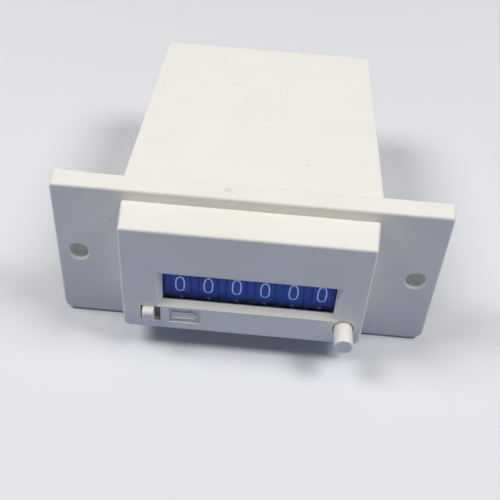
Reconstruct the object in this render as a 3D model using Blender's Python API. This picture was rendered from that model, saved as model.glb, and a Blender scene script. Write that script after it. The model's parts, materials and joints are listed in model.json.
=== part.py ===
"""Panel counter: six number wheels behind a window, a reset button and a lock slide.

Metres, Z up. Everything is drawn round the mounting plane: x = 0 is the middle of the flange,
y = 0 is its back face, z = 0 is the line of its screw holes, and the front looks towards -Y.
The empty counter_frame then stands the flange's lower edge on z = 0 and centres the depth.
"""
import math

import bmesh
import bpy

# Flange
FLANGE_ABOVE_CASE = 0.0025
FLANGE_THICKNESS = 0.0041
FLANGE_CORNER = 0.0020
FLANGE_EDGE = 0.0005
SCREW_TO_CASE = 0.0074
SCREW_TO_EDGE = 0.0040
SCREW_HOLE_RADIUS = 0.00175
SCREW_BOSS_WALL = 0.0016
SCREW_HOLE_CHAMFER = 0.0003
EAR_RIM = 0.0014
EAR_SKIN = 0.0016

# Bezel
BEZEL_ABOVE_CASE = 0.0001
BEZEL_BELOW_BUTTON = 0.00395
BEZEL_BESIDE_BUTTON = 0.00343
BEZEL_PROUD = 0.0075
BEZEL_LOWER_CORNER = 0.0013
BEZEL_UPPER_CORNER = 0.0006
BEZEL_EDGE = 0.0005
BEZEL_SIDE_DRAFT = 0.0008
BEZEL_TOP_DRAFT = 0.00015
BEZEL_WALL = 0.0010
FACE_WALL = 0.0012

# Window, lens, slot and plaque on the face
WINDOW_BESIDE_WHEELS = 0.0011
WINDOW_LEFT_SHIFT = 0.0003
WINDOW_HEIGHT = 0.0061
WINDOW_CENTRE_Z = -0.00068
WINDOW_CHAMFER = 0.0010
LENS_THICKNESS = 0.0005
LENS_LIP = 0.0008
SLOT_WIDTH = 0.0036
SLOT_HEIGHT = 0.00345
SLOT_FROM_BEZEL_SIDE = 0.00516
SLOT_BELOW_WINDOW = 0.00295
PLAQUE_WIDTH = 0.0056
PLAQUE_HEIGHT = 0.0033
PLAQUE_FROM_SLOT = 0.00624
PLAQUE_BELOW_WINDOW = 0.00310
PLAQUE_DEPTH = 0.00042
ARROW_LENGTH = 0.0046
ARROW_HEIGHT = 0.0021
ARROW_TAIL_HEIGHT = 0.0015
ARROW_HEAD_LENGTH = 0.0012
ARROW_RISE = 0.0002

# Case
CASE_BESIDE_BEZEL = 0.0018
CASE_DEPTH = 0.0590
CASE_WALL = 0.0012
CASE_BACK_WALL = 0.0015
CASE_EDGE = 0.0003
SPIGOT_TO_PLATE = 0.0008
SPIGOT_WALL = 0.0010
RIB_HEIGHT = 0.0008
RIB_WIDTH = 0.0008
RIB_FROM_REAR = 0.0090
RIB_BEHIND_SHOULDER = 0.0032

# Number wheels and their shaft
WHEEL_COUNT = 6
WHEEL_ROW_CENTRE_X = 0.0012
WHEEL_RADIUS = 0.0085
WHEEL_WIDTH = 0.0032
WHEEL_RIM = 0.0012
WHEEL_WEB = 0.0012
WHEEL_AXIS_Z = -0.00065
WHEEL_TO_LENS = 0.0002
WHEEL_TO_SPIGOT = 0.0010
HUB_RADIUS = 0.0019
SHAFT_RADIUS = 0.0010
RUNNING_CLEARANCE = 0.0001
SHAFT_OVERHANG = 0.0007
CLIP_RADIUS = 0.0018
CLIP_THICKNESS = 0.0004

# Window comb, which fills the gaps between the wheels
COMB_SIDE_CLEARANCE = 0.0001
COMB_BELOW_RIM = 0.0001
COMB_ARC_DEPTH = 0.0006
COMB_BAR_HEIGHT = 0.0015
COMB_BAR_DEPTH = 0.0009
COMB_BAR_BELOW_FACE = 0.0003
COMB_BAR_ABOVE_LENS = 0.0003
COMB_LOWER_REACH = 40.0
COMB_LEFT_END = 0.0018
COMB_RIGHT_END = 0.0004

# Carry train
GEAR_BELOW_RIM = 0.0010
GEAR_TEETH = 20
PINION_TEETH = 8
TOOTH_ADDENDUM = 0.0005
TOOTH_DEDENDUM = 0.0008
GEAR_TOOTH_SHARES = (0.28, 0.10)
PINION_TOOTH_SHARES = (0.32, 0.07)
PINION_CUT_SHARES = (0.40, 0.30)
GEAR_WIDTH = 0.00045
CARRY_WIDTH = 0.00045
CARRY_CLEARANCE = 0.0002
CARRY_NOTCH_DEPTH = 0.0010
CARRY_STEPS = 18
CAM_WIDTH = 0.00055
GEAR_TO_CAM = 0.00043
CAM_HIGH = 0.0038
CAM_LOW = 0.0021
PINION_SIDE_CLEARANCE = 0.00012
PINION_SHAFT_RADIUS = 0.0007

# Reset gear
RESET_TRAVEL = 0.0026
BUTTON_LEFT_PROUD = 0.0018
BUTTON_RADIUS = 0.0017
BUTTON_HOLE_RADIUS = 0.0019
BUTTON_BELOW_WINDOW = 0.00272
BUTTON_ROUND = 0.0003
COLLAR_RADIUS = 0.0022
COLLAR_THICKNESS = 0.0008
ROD_RADIUS = 0.0008
ROD_TIP_RADIUS = 0.0006
ROD_TO_PLATE = 0.00027
ROCKER_SHAFT_RISE = 0.00685
ROCKER_TUBE_WALL = 0.0006
CHEEK_THICKNESS = 0.0006
CHEEK_HALF_WIDTH = 0.0012
FINGER_THICKNESS = 0.0005
FINGER_HEIGHT = 0.0013
FINGER_REACH = 0.0079
FINGER_DROP = 0.0022
LEVER_THICKNESS = 0.0010
LEVER_HUB_RADIUS = 0.0020
LEVER_BUSH_RADIUS = 0.0018
SPRING_WIRE = 0.00035
SPRING_RADIUS = 0.00135
SPRING_TURNS = 7
SPRING_STEPS = 8

# Lock slide
KNOB_WIDTH = 0.0020
KNOB_HEIGHT = 0.0027
KNOB_PROUD = 0.0014
KNOB_TO_SLOT_END = 0.00048
KNOB_ROUND = 0.0005
KNOB_TOP_ROUND = 0.0009
KNOB_TO_SLOT_TOP = 0.0001
LOCK_TRAVEL = 0.0009
SLIDE_THICKNESS = 0.0007
SLIDE_BELOW_LENS = 0.00027
SLIDE_ABOVE_BEZEL_WALL = 0.0005
SLIDE_TO_BEZEL_WALL = 0.0006
SLIDE_TO_COLLAR = 0.0006

# Mechanism frame
PLATE_THICKNESS = 0.0008
PLATE_SIDE_CLEARANCE = 0.0002
PLATE_TO_BLOCK = 0.0015
SHOULDER_TO_ROCKER = 0.0040
PLATE_NOSE_RADIUS = 0.0036
TIE_RADIUS = 0.0012
TIE_END_RADIUS = 0.0008
TIE_HEAD_RADIUS = 0.0015
TIE_HEAD_TOP_RADIUS = 0.00105
TIE_HEAD_THICKNESS = 0.0005
TIE_FROM_PLATE_TOP = 0.0024
TIE_FROM_PLATE_REAR = 0.0040
TIE_TO_ARMATURE = 0.0057

# Ratchet and pallet
RATCHET_TEETH = 10
RATCHET_TO_RIM = 0.0027
RATCHET_DEPTH = 0.0010
RATCHET_SHARES = (0.25, 0.85)
RATCHET_WIDTH = 0.0005
PALLET_CLEARANCE = 0.0002
PALLET_HEIGHT = 0.0013
ARMATURE_SWING = 3.0

# Coil and armature
COIL_CENTRE_Z = 0.0010
CORE_RADIUS = 0.0025
POLE_RADIUS = 0.0040
POLE_THICKNESS = 0.0010
POLE_TO_ARMATURE = 0.0013
POLE_TO_BOBBIN = 0.0005
BOBBIN_FLANGE_RADIUS = 0.0080
BOBBIN_FLANGE = 0.0010
BOBBIN_TUBE_WALL = 0.0008
WINDING_RADIUS = 0.0072
YOKE_THICKNESS = 0.0012
YOKE_BEHIND_POLE = 0.0005
YOKE_TO_TIE = 0.0007
YOKE_TAB_LENGTH = 0.0040
YOKE_UPRIGHT_RISE = 0.0060
ARMATURE_THICKNESS = 0.0012
ARMATURE_WIDTH = 0.0140
ARMATURE_TOP = 0.0075
ARMATURE_FROM_ROCKER = 0.0114
ARMATURE_FROM_PLATE_FOOT = 0.0020
ARMATURE_PIN_RADIUS = 0.0007
ARMATURE_BARREL_RADIUS = 0.0014
ARMATURE_SPRING_RADIUS = 0.0009
ARMATURE_SPRING_TURNS = 5
ARMATURE_SPRING_X = 0.0030

# Terminals
BLADE_WIDTH = 0.0028
BLADE_THICKNESS = 0.0008
BLADE_SPACING = 0.0100
BLADE_OUT = 0.0060
BLADE_IN = 0.0020
BLOCK_WIDTH = 0.0260
BLOCK_HEIGHT = 0.0100
BLOCK_DEPTH = 0.0042
LEAD_WIRE = 0.0003
LEAD_TAIL = 0.0015

# Clearances between pieces that meet
SEAM = 0.0001
SLIP = 0.00015
SEAT = 0.0003
OVERLAP = 0.0002
PAST = 0.0010

# The row of wheels and the case round it
WHEEL_PITCH = WHEEL_WIDTH + GEAR_WIDTH + CARRY_WIDTH + CAM_WIDTH + GEAR_TO_CAM
FIRST_WHEEL_X = WHEEL_ROW_CENTRE_X - WHEEL_PITCH * (WHEEL_COUNT - 1) / 2
LAST_WHEEL_X = FIRST_WHEEL_X + WHEEL_PITCH * (WHEEL_COUNT - 1)
PLATE_LEFT_INSIDE = FIRST_WHEEL_X - WHEEL_PITCH / 2 - FINGER_THICKNESS - SEAT
RATCHET_RIGHT = LAST_WHEEL_X + WHEEL_WIDTH / 2 + RATCHET_WIDTH
PLATE_RIGHT_INSIDE = RATCHET_RIGHT + RATCHET_WIDTH
BUTTON_CENTRE_X = PLATE_RIGHT_INSIDE + PLATE_THICKNESS + ROD_TO_PLATE + ROD_RADIUS
BEZEL_WIDTH = 2 * (BUTTON_CENTRE_X + BEZEL_BESIDE_BUTTON)
CASE_WIDTH = BEZEL_WIDTH + 2 * CASE_BESIDE_BEZEL
CASE_INNER_X = CASE_WIDTH / 2 - CASE_WALL
CASE_INNER_Z = WHEEL_RADIUS - WHEEL_AXIS_Z + WHEEL_TO_SPIGOT + SPIGOT_WALL + SLIP
CASE_HEIGHT = 2 * (CASE_INNER_Z + CASE_WALL)
CASE_BACK_INSIDE = CASE_DEPTH - CASE_BACK_WALL

# The flange and the face
SCREW_SPACING = CASE_WIDTH + 2 * SCREW_TO_CASE
FLANGE_WIDTH = SCREW_SPACING + 2 * SCREW_TO_EDGE
FLANGE_HEIGHT = CASE_HEIGHT + 2 * FLANGE_ABOVE_CASE
FACE_Y = -(FLANGE_THICKNESS + BEZEL_PROUD)
FACE_INSIDE = FACE_Y + FACE_WALL
WINDOW_WIDTH = LAST_WHEEL_X - FIRST_WHEEL_X + WHEEL_WIDTH + 2 * WINDOW_BESIDE_WHEELS
WINDOW_CENTRE_X = WHEEL_ROW_CENTRE_X - WINDOW_LEFT_SHIFT
WINDOW_BOTTOM = WINDOW_CENTRE_Z - WINDOW_HEIGHT / 2
BUTTON_CENTRE_Z = WINDOW_BOTTOM - BUTTON_BELOW_WINDOW
BUTTON_FRONT = FACE_Y - RESET_TRAVEL - BUTTON_LEFT_PROUD
BEZEL_TOP = CASE_HEIGHT / 2 + BEZEL_ABOVE_CASE
BEZEL_BOTTOM = BUTTON_CENTRE_Z - BEZEL_BELOW_BUTTON
SLOT_CENTRE_X = SLOT_FROM_BEZEL_SIDE - BEZEL_WIDTH / 2
SLOT_CENTRE_Z = WINDOW_BOTTOM - SLOT_BELOW_WINDOW
PLAQUE_CENTRE_X = SLOT_CENTRE_X + PLAQUE_FROM_SLOT
PLAQUE_CENTRE_Z = WINDOW_BOTTOM - PLAQUE_BELOW_WINDOW

# The wheels' axis and the carry train
LENS_FRONT = FACE_INSIDE + WHEEL_TO_LENS
LENS_BACK = LENS_FRONT + LENS_THICKNESS
WHEEL_AXIS_Y = LENS_BACK + WHEEL_TO_LENS + WHEEL_RADIUS
GEAR_PITCH_RADIUS = WHEEL_RADIUS - GEAR_BELOW_RIM - TOOTH_ADDENDUM
PINION_PITCH_RADIUS = GEAR_PITCH_RADIUS * PINION_TEETH / GEAR_TEETH
PINION_AXIS_Y = WHEEL_AXIS_Y + GEAR_PITCH_RADIUS + PINION_PITCH_RADIUS
PINION_TIP = PINION_PITCH_RADIUS + TOOTH_ADDENDUM
CARRY_RADIUS = GEAR_PITCH_RADIUS + PINION_PITCH_RADIUS - PINION_TIP - CARRY_CLEARANCE
RATCHET_RADIUS = WHEEL_RADIUS - WHEEL_RIM - RATCHET_TO_RIM
BORE_RADIUS = SHAFT_RADIUS + RUNNING_CLEARANCE
COMB_RADIUS = WHEEL_RADIUS - COMB_BELOW_RIM
COMB_BAR_FRONT = FACE_INSIDE + COMB_BAR_BELOW_FACE
COMB_BAR_BACK = COMB_BAR_FRONT + COMB_BAR_DEPTH
COMB_BAR_FOOT = WINDOW_CENTRE_Z + WINDOW_HEIGHT / 2 + LENS_LIP + COMB_BAR_ABOVE_LENS

# The reset gear and the lock slide
ROCKER_Y = PINION_AXIS_Y
ROCKER_Z = WHEEL_AXIS_Z + ROCKER_SHAFT_RISE
ROCKER_TUBE_RADIUS = BORE_RADIUS + ROCKER_TUBE_WALL
PLATE_SHOULDER = ROCKER_Y - SHOULDER_TO_ROCKER
SPIGOT_LENGTH = PLATE_SHOULDER - SPIGOT_TO_PLATE
COLLAR_FRONT = FACE_INSIDE + SEAT
COLLAR_BACK = COLLAR_FRONT + COLLAR_THICKNESS
ROD_END = ROCKER_Y - CHEEK_HALF_WIDTH - SEAT
ROD_GUIDE_Y = PLATE_SHOULDER + SEAT
SLIDE_FRONT = FACE_INSIDE + SLIP
SLIDE_BACK = SLIDE_FRONT + SLIDE_THICKNESS
SLIDE_TOP = WINDOW_BOTTOM - LENS_LIP - SLIDE_BELOW_LENS
SLIDE_BOTTOM = BEZEL_BOTTOM + BEZEL_WALL + SLIDE_ABOVE_BEZEL_WALL
SLIDE_LEFT = BEZEL_WALL + SLIDE_TO_BEZEL_WALL - BEZEL_WIDTH / 2
SLIDE_RIGHT = BUTTON_CENTRE_X - COLLAR_RADIUS - LOCK_TRAVEL - SLIDE_TO_COLLAR
KNOB_CENTRE_X = SLOT_CENTRE_X - SLOT_WIDTH / 2 + KNOB_TO_SLOT_END + KNOB_WIDTH / 2
KNOB_CENTRE_Z = SLOT_CENTRE_Z + SLOT_HEIGHT / 2 - KNOB_TO_SLOT_TOP - KNOB_HEIGHT / 2

# The frame, the armature and the coil, up to the terminal block
BLOCK_FRONT = CASE_BACK_INSIDE - SEAT - BLOCK_DEPTH
PLATE_REAR = BLOCK_FRONT - PLATE_TO_BLOCK
PLATE_HALF_HEIGHT = CASE_INNER_Z - SEAT
ARMATURE_AXIS_Y = ROCKER_Y + ARMATURE_FROM_ROCKER
ARMATURE_AXIS_Z = ARMATURE_FROM_PLATE_FOOT - PLATE_HALF_HEIGHT
TIE_Z = PLATE_HALF_HEIGHT - TIE_FROM_PLATE_TOP
TIE_FRONT_Y = ARMATURE_AXIS_Y - TIE_TO_ARMATURE
TIE_REAR_Y = PLATE_REAR - TIE_FROM_PLATE_REAR
POLE_Y = ARMATURE_AXIS_Y + ARMATURE_THICKNESS / 2 + POLE_TO_ARMATURE
BOBBIN_FRONT = POLE_Y + POLE_THICKNESS + POLE_TO_BOBBIN
YOKE_FRONT = POLE_Y + YOKE_BEHIND_POLE
YOKE_BACK = TIE_REAR_Y - TIE_RADIUS - YOKE_TO_TIE
YOKE_TOP = COIL_CENTRE_Z - BOBBIN_FLANGE_RADIUS - SEAT
YOKE_BOTTOM = YOKE_TOP - YOKE_THICKNESS
BOBBIN_BACK = YOKE_BACK - YOKE_THICKNESS - SEAT
BLADE_END = CASE_DEPTH + BLADE_OUT

# From the mounting plane to the ground
WORLD_SHIFT_Y = -(BUTTON_FRONT + BLADE_END) / 2
WORLD_SHIFT_Z = FLANGE_HEIGHT / 2


def material(name, colour, roughness, metallic=0.0, alpha=1.0):
    """A plain Principled material, made once for each name."""
    if name in bpy.data.materials:
        return bpy.data.materials[name]
    made = bpy.data.materials.new(name)
    made.use_nodes = True
    shader = made.node_tree.nodes["Principled BSDF"]
    shader.inputs["Base Color"].default_value = (*colour, 1.0)
    shader.inputs["Roughness"].default_value = roughness
    shader.inputs["Metallic"].default_value = metallic
    shader.inputs["Alpha"].default_value = alpha
    return made


def ivory():
    return material("ivory_abs", (0.80, 0.77, 0.69), 0.35)


def wheel_navy():
    return material("wheel_navy", (0.008, 0.030, 0.120), 0.4)


def pinion_white():
    return material("pinion_acetal", (0.85, 0.84, 0.80), 0.35)


def zinc_steel():
    return material("zinc_steel", (0.56, 0.56, 0.54), 0.35, 1.0)


def bright_steel():
    return material("bright_steel", (0.62, 0.61, 0.60), 0.22, 1.0)


def copper_wire():
    return material("copper_wire", (0.62, 0.25, 0.11), 0.35, 1.0)


def bobbin_nylon():
    return material("bobbin_nylon", (0.10, 0.10, 0.11), 0.45)


def tinned_brass():
    return material("tinned_brass", (0.66, 0.60, 0.45), 0.3, 1.0)


def clear_acrylic():
    return material("clear_acrylic", (0.93, 0.95, 0.97), 0.05, 0.0, 0.25)


def circle(u, v, radius, sides=24):
    """The points of a circle, counted from +u towards +v."""
    turn = 2 * math.pi / sides
    return [
        (u + radius * math.cos(turn * k), v + radius * math.sin(turn * k))
        for k in range(sides)
    ]


def arc(u, v, radius, start, end, steps):
    """Points along an arc from start to end, in degrees."""
    angles = [math.radians(start + (end - start) * k / steps) for k in range(steps + 1)]
    return [(u + radius * math.cos(a), v + radius * math.sin(a)) for a in angles]


def round_box(low, high, lower=0.0001, upper=None, steps=3):
    """A rectangle's outline from low to high, with round corners of a lower and an upper radius."""
    upper = lower if upper is None else upper
    (u0, v0), (u1, v1) = low, high
    return (
        arc(u0 + lower, v0 + lower, lower, 180, 270, steps)
        + arc(u1 - lower, v0 + lower, lower, 270, 360, steps)
        + arc(u1 - upper, v1 - upper, upper, 0, 90, steps)
        + arc(u0 + upper, v1 - upper, upper, 90, 180, steps)
    )


def place(axis, u, v, along):
    """The 3D point of an outline's point, for an outline drawn across the given axis."""
    return {"X": (along, u, v), "Y": (u, along, v), "Z": (u, v, along)}[axis]


def solid_of(mesh):
    """A working solid from a closed bmesh, with its faces turned outwards."""
    bmesh.ops.recalc_face_normals(mesh, faces=mesh.faces)
    data = bpy.data.meshes.new("blank")
    mesh.to_mesh(data)
    mesh.free()
    solid = bpy.data.objects.new("blank", data)
    bpy.context.scene.collection.objects.link(solid)
    return solid


def loft(rings):
    """A closed solid through rings of as many 3D points each, capped at both ends."""
    mesh = bmesh.new()
    loops = [[mesh.verts.new(point) for point in ring] for ring in rings]
    mesh.faces.new(loops[0])
    mesh.faces.new(loops[-1])
    count = len(loops[0])
    for near, far in zip(loops, loops[1:]):
        for k in range(count):
            after = (k + 1) % count
            mesh.faces.new((near[k], near[after], far[after], far[k]))
    return solid_of(mesh)


def prism(axis, outline, low, high):
    """A straight solid with the given outline, from low to high along the axis."""
    return loft([[place(axis, u, v, along) for u, v in outline] for along in (low, high)])


def block(x, y, z):
    """A box from three (low, high) pairs."""
    outline = [(x[0], z[0]), (x[1], z[0]), (x[1], z[1]), (x[0], z[1])]
    return prism("Y", outline, y[0], y[1])


def rod(axis, centre, radius, low, high, sides=24):
    """A round bar along an axis, through a centre given across that axis."""
    return prism(axis, circle(*centre, radius, sides), low, high)


def lathe(axis, centre, profile, sides=24):
    """A turned solid from (along, radius) pairs."""
    return loft(
        [
            [place(axis, u, v, along) for u, v in circle(*centre, radius, sides)]
            for along, radius in profile
        ]
    )


def combine(body, tool, operation):
    """The body joined to or cut by a tool, which is used up."""
    modifier = body.modifiers.new("combine", "BOOLEAN")
    modifier.operation = operation
    modifier.solver = "EXACT"
    modifier.object = tool
    depsgraph = bpy.context.evaluated_depsgraph_get()
    data = bpy.data.meshes.new_from_object(body.evaluated_get(depsgraph))
    body.modifiers.clear()
    body.data = data
    bpy.data.objects.remove(tool)


def join(body, *tools):
    for tool in tools:
        combine(body, tool, "UNION")
    return body


def cut(body, *tools):
    for tool in tools:
        combine(body, tool, "DIFFERENCE")
    return body


def piece(name, solid, finish, pivot=(0.0, 0.0, 0.0)):
    """A finished piece, with its origin at its pivot and its round faces shaded smooth."""
    solid.name = name
    solid.data.name = name
    for vertex in solid.data.vertices:
        for k in range(3):
            vertex.co[k] -= pivot[k]
    solid.location = pivot
    solid.data.materials.clear()
    solid.data.materials.append(finish)
    solid.data.shade_smooth()
    solid.data.set_sharp_from_angle(angle=math.radians(35))
    solid.parent = bpy.data.objects["counter_frame"]
    return solid


def edge_rings(outline_at, back, front, edge, steps=3):
    """Rings from back to front along -Y whose outline draws in round the front edge.

    outline_at(inset) gives the outline drawn in by inset.
    """
    start = front + edge
    rings = [[place("Y", u, v, y) for u, v in outline_at(0.0)] for y in (back, start)]
    for k in range(1, steps + 1):
        turn = math.radians(90 * k / steps)
        inset = edge * (1 - math.cos(turn))
        y = start - edge * math.sin(turn)
        rings.append([place("Y", u, v, y) for u, v in outline_at(inset)])
    return rings


def flange_outline(inset):
    u, v = FLANGE_WIDTH / 2 - inset, FLANGE_HEIGHT / 2 - inset
    return round_box((-u, -v), (u, v), FLANGE_CORNER - inset, steps=4)


def bezel_outline(inset, side=0.0, top=0.0):
    """The bezel's outline drawn in by inset, or let out at the sides and the top."""
    u = BEZEL_WIDTH / 2 + side - inset
    lower = BEZEL_LOWER_CORNER - inset
    upper = max(BEZEL_UPPER_CORNER - inset, BEZEL_UPPER_CORNER / 4)
    return round_box((-u, BEZEL_BOTTOM + inset), (u, BEZEL_TOP + top - inset), lower, upper)


def bezel_rings():
    """Rings from inside the flange to the face: wide at the flange by the mould's draft."""
    foot = bezel_outline(0.0, BEZEL_SIDE_DRAFT, BEZEL_TOP_DRAFT)
    front = -FLANGE_THICKNESS
    roots = [[place("Y", u, v, y) for u, v in foot] for y in (front + PAST, front)]
    return roots + edge_rings(bezel_outline, front, FACE_Y, BEZEL_EDGE)[1:]


def window_cutter():
    """The opening with its sloped lip, wide at the face and straight at the lens."""
    def ring(y, outset):
        u, v = WINDOW_WIDTH / 2 + outset, WINDOW_HEIGHT / 2 + outset
        low = (WINDOW_CENTRE_X - u, WINDOW_CENTRE_Z - v)
        high = (WINDOW_CENTRE_X + u, WINDOW_CENTRE_Z + v)
        corners = (low, (high[0], low[1]), high, (low[0], high[1]))
        return [place("Y", *corner, y) for corner in corners]

    return loft(
        [
            ring(FACE_Y - PAST, WINDOW_CHAMFER + PAST),
            ring(FACE_Y + WINDOW_CHAMFER, 0.0),
            ring(FACE_INSIDE + PAST, 0.0),
        ]
    )


def screw_cutter(x):
    """A screw hole through one ear, with its front edge broken."""
    front = -FLANGE_THICKNESS
    wide = SCREW_HOLE_RADIUS + SCREW_HOLE_CHAMFER
    return lathe(
        "Y",
        (x, 0.0),
        [
            (PAST, SCREW_HOLE_RADIUS),
            (front + SCREW_HOLE_CHAMFER, SCREW_HOLE_RADIUS),
            (front, wide),
            (front - PAST, wide + PAST),
        ],
        32,
    )


def ear_pocket(side):
    """The cored space behind one ear, which leaves a rim and a boss round the screw hole."""
    inner = CASE_WIDTH / 2 + EAR_RIM
    outer = FLANGE_WIDTH / 2 - EAR_RIM
    half = FLANGE_HEIGHT / 2 - EAR_RIM
    xs = sorted((side * inner, side * outer))
    outline = round_box((xs[0], -half), (xs[1], half), FLANGE_CORNER - EAR_RIM)
    pocket = prism("Y", outline, -(FLANGE_THICKNESS - EAR_SKIN), PAST)
    boss = rod(
        "Y",
        (side * SCREW_SPACING / 2, 0.0),
        SCREW_HOLE_RADIUS + SCREW_BOSS_WALL,
        -FLANGE_THICKNESS,
        2 * PAST,
        32,
    )
    return cut(pocket, boss)


def spigot():
    """The rim behind the flange that slips inside the mouth of the case."""
    u = CASE_INNER_X - SLIP
    v = CASE_INNER_Z - SLIP
    outer = prism("Y", round_box((-u, -v), (u, v), CASE_EDGE), -OVERLAP, SPIGOT_LENGTH)
    u -= SPIGOT_WALL
    v -= SPIGOT_WALL
    inner = prism("Y", round_box((-u, -v), (u, v), CASE_EDGE), -PAST, SPIGOT_LENGTH + PAST)
    return cut(outer, inner)


def arrow_outline():
    """A plain arrow that points to +X, for the lock slide's direction."""
    x0 = PLAQUE_CENTRE_X - ARROW_LENGTH / 2
    x1 = PLAQUE_CENTRE_X + ARROW_LENGTH / 2
    neck = x1 - ARROW_HEAD_LENGTH
    half, tail = ARROW_HEIGHT / 2, ARROW_TAIL_HEIGHT / 2
    z = PLAQUE_CENTRE_Z
    return [
        (x0, z - tail),
        (neck, z - tail),
        (neck, z - half),
        (x1, z),
        (neck, z + half),
        (neck, z + tail),
        (x0, z + tail),
    ]


def make_front_panel():
    body = loft(edge_rings(flange_outline, 0.0, -FLANGE_THICKNESS, FLANGE_EDGE))
    join(body, loft(bezel_rings()))
    u = BEZEL_WIDTH / 2 - BEZEL_WALL
    low = (-u, BEZEL_BOTTOM + BEZEL_WALL)
    high = (u, BEZEL_TOP - BEZEL_WALL)
    cut(body, prism("Y", round_box(low, high, CASE_EDGE), FACE_INSIDE, PAST))
    join(body, spigot())
    cut(body, ear_pocket(-1), ear_pocket(1))
    cut(body, screw_cutter(-SCREW_SPACING / 2), screw_cutter(SCREW_SPACING / 2))
    cut(body, window_cutter())
    cut(
        body,
        block(
            (SLOT_CENTRE_X - SLOT_WIDTH / 2, SLOT_CENTRE_X + SLOT_WIDTH / 2),
            (FACE_Y - PAST, FACE_INSIDE + PAST),
            (SLOT_CENTRE_Z - SLOT_HEIGHT / 2, SLOT_CENTRE_Z + SLOT_HEIGHT / 2),
        ),
    )
    plaque = block(
        (PLAQUE_CENTRE_X - PLAQUE_WIDTH / 2, PLAQUE_CENTRE_X + PLAQUE_WIDTH / 2),
        (FACE_Y - PAST, FACE_Y + PLAQUE_DEPTH),
        (PLAQUE_CENTRE_Z - PLAQUE_HEIGHT / 2, PLAQUE_CENTRE_Z + PLAQUE_HEIGHT / 2),
    )
    cut(body, plaque)
    arrow_front = FACE_Y + PLAQUE_DEPTH - ARROW_RISE
    join(body, prism("Y", arrow_outline(), arrow_front, FACE_Y + PLAQUE_DEPTH + OVERLAP))
    button_hole = rod(
        "Y",
        (BUTTON_CENTRE_X, BUTTON_CENTRE_Z),
        BUTTON_HOLE_RADIUS,
        FACE_Y - PAST,
        FACE_INSIDE + PAST,
        32,
    )
    cut(body, button_hole)
    piece("front_panel", body, ivory())


def make_lens():
    u, v = WINDOW_WIDTH / 2 + LENS_LIP, WINDOW_HEIGHT / 2 + LENS_LIP
    lens = block(
        (WINDOW_CENTRE_X - u, WINDOW_CENTRE_X + u),
        (LENS_FRONT, LENS_BACK),
        (WINDOW_CENTRE_Z - v, WINDOW_CENTRE_Z + v),
    )
    piece("window_lens", lens, clear_acrylic())


def case_outline(inset):
    u, v = CASE_WIDTH / 2 - inset, CASE_HEIGHT / 2 - inset
    return round_box((-u, -v), (u, v), max(CASE_EDGE - inset, CASE_EDGE / 4), steps=2)


def guide_rib(x, side):
    """One low rib along the top or the bottom wall, inside the case."""
    root = side * (CASE_INNER_Z + OVERLAP)
    crest = side * (CASE_INNER_Z - RIB_HEIGHT)
    return block(
        (x, x + RIB_WIDTH),
        (PLATE_SHOULDER + RIB_BEHIND_SHOULDER, CASE_DEPTH - RIB_FROM_REAR),
        tuple(sorted((root, crest))),
    )


def make_case():
    front = [place("Y", u, v, SEAM) for u, v in case_outline(0.0)]
    shoulder = [place("Y", u, v, CASE_DEPTH - CASE_EDGE) for u, v in case_outline(0.0)]
    rear = [place("Y", u, v, CASE_DEPTH) for u, v in case_outline(CASE_EDGE)]
    body = loft([front, shoulder, rear])
    hollow = round_box((-CASE_INNER_X, -CASE_INNER_Z), (CASE_INNER_X, CASE_INNER_Z), CASE_EDGE)
    cut(body, prism("Y", hollow, -PAST, CASE_BACK_INSIDE))
    for inside, outwards in ((PLATE_LEFT_INSIDE, -1), (PLATE_RIGHT_INSIDE, 1)):
        plate = sorted((inside, inside + outwards * PLATE_THICKNESS))
        for side in (-1, 1):
            join(body, guide_rib(plate[0] - PLATE_SIDE_CLEARANCE - RIB_WIDTH, side))
            join(body, guide_rib(plate[1] + PLATE_SIDE_CLEARANCE, side))
    for side in (-1, 1):
        x = side * BLADE_SPACING / 2
        half_x = BLADE_THICKNESS / 2 + SLIP
        half_z = BLADE_WIDTH / 2 + SLIP
        through = (CASE_BACK_INSIDE - PAST, CASE_DEPTH + PAST)
        cut(body, block((x - half_x, x + half_x), through, (-half_z, half_z)))
    piece("case", body, ivory())


def toothed_outline(centre, teeth, pitch_radius, root_share, tip_share, phase):
    """A gear's outline of straight-sided teeth, each a share of the pitch wide at root and tip."""
    pitch = 2 * math.pi / teeth
    root, tip = pitch_radius - TOOTH_DEDENDUM, pitch_radius + TOOTH_ADDENDUM
    corners = ((root, -root_share), (tip, -tip_share), (tip, tip_share), (root, root_share))
    return [
        (
            centre[0] + radius * math.cos(phase + pitch * (k + share)),
            centre[1] + radius * math.sin(phase + pitch * (k + share)),
        )
        for k in range(teeth)
        for radius, share in corners
    ]


def gear_outline():
    """The wheel's gear ring, with a tooth pointing straight at the pinion."""
    centre = (WHEEL_AXIS_Y, WHEEL_AXIS_Z)
    return toothed_outline(centre, GEAR_TEETH, GEAR_PITCH_RADIUS, *GEAR_TOOTH_SHARES, 0.0)


def pinion_outline():
    """The pinion's teeth, with a gap facing the wheel."""
    centre = (PINION_AXIS_Y, WHEEL_AXIS_Z)
    gap = math.pi + math.pi / PINION_TEETH
    return toothed_outline(centre, PINION_TEETH, PINION_PITCH_RADIUS, *PINION_TOOTH_SHARES, gap)


def wheel_point(radius, turn):
    """A point across the wheels' axis, at a radius and a turn in radians from +Y towards +Z."""
    return WHEEL_AXIS_Y + radius * math.cos(turn), WHEEL_AXIS_Z + radius * math.sin(turn)


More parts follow.
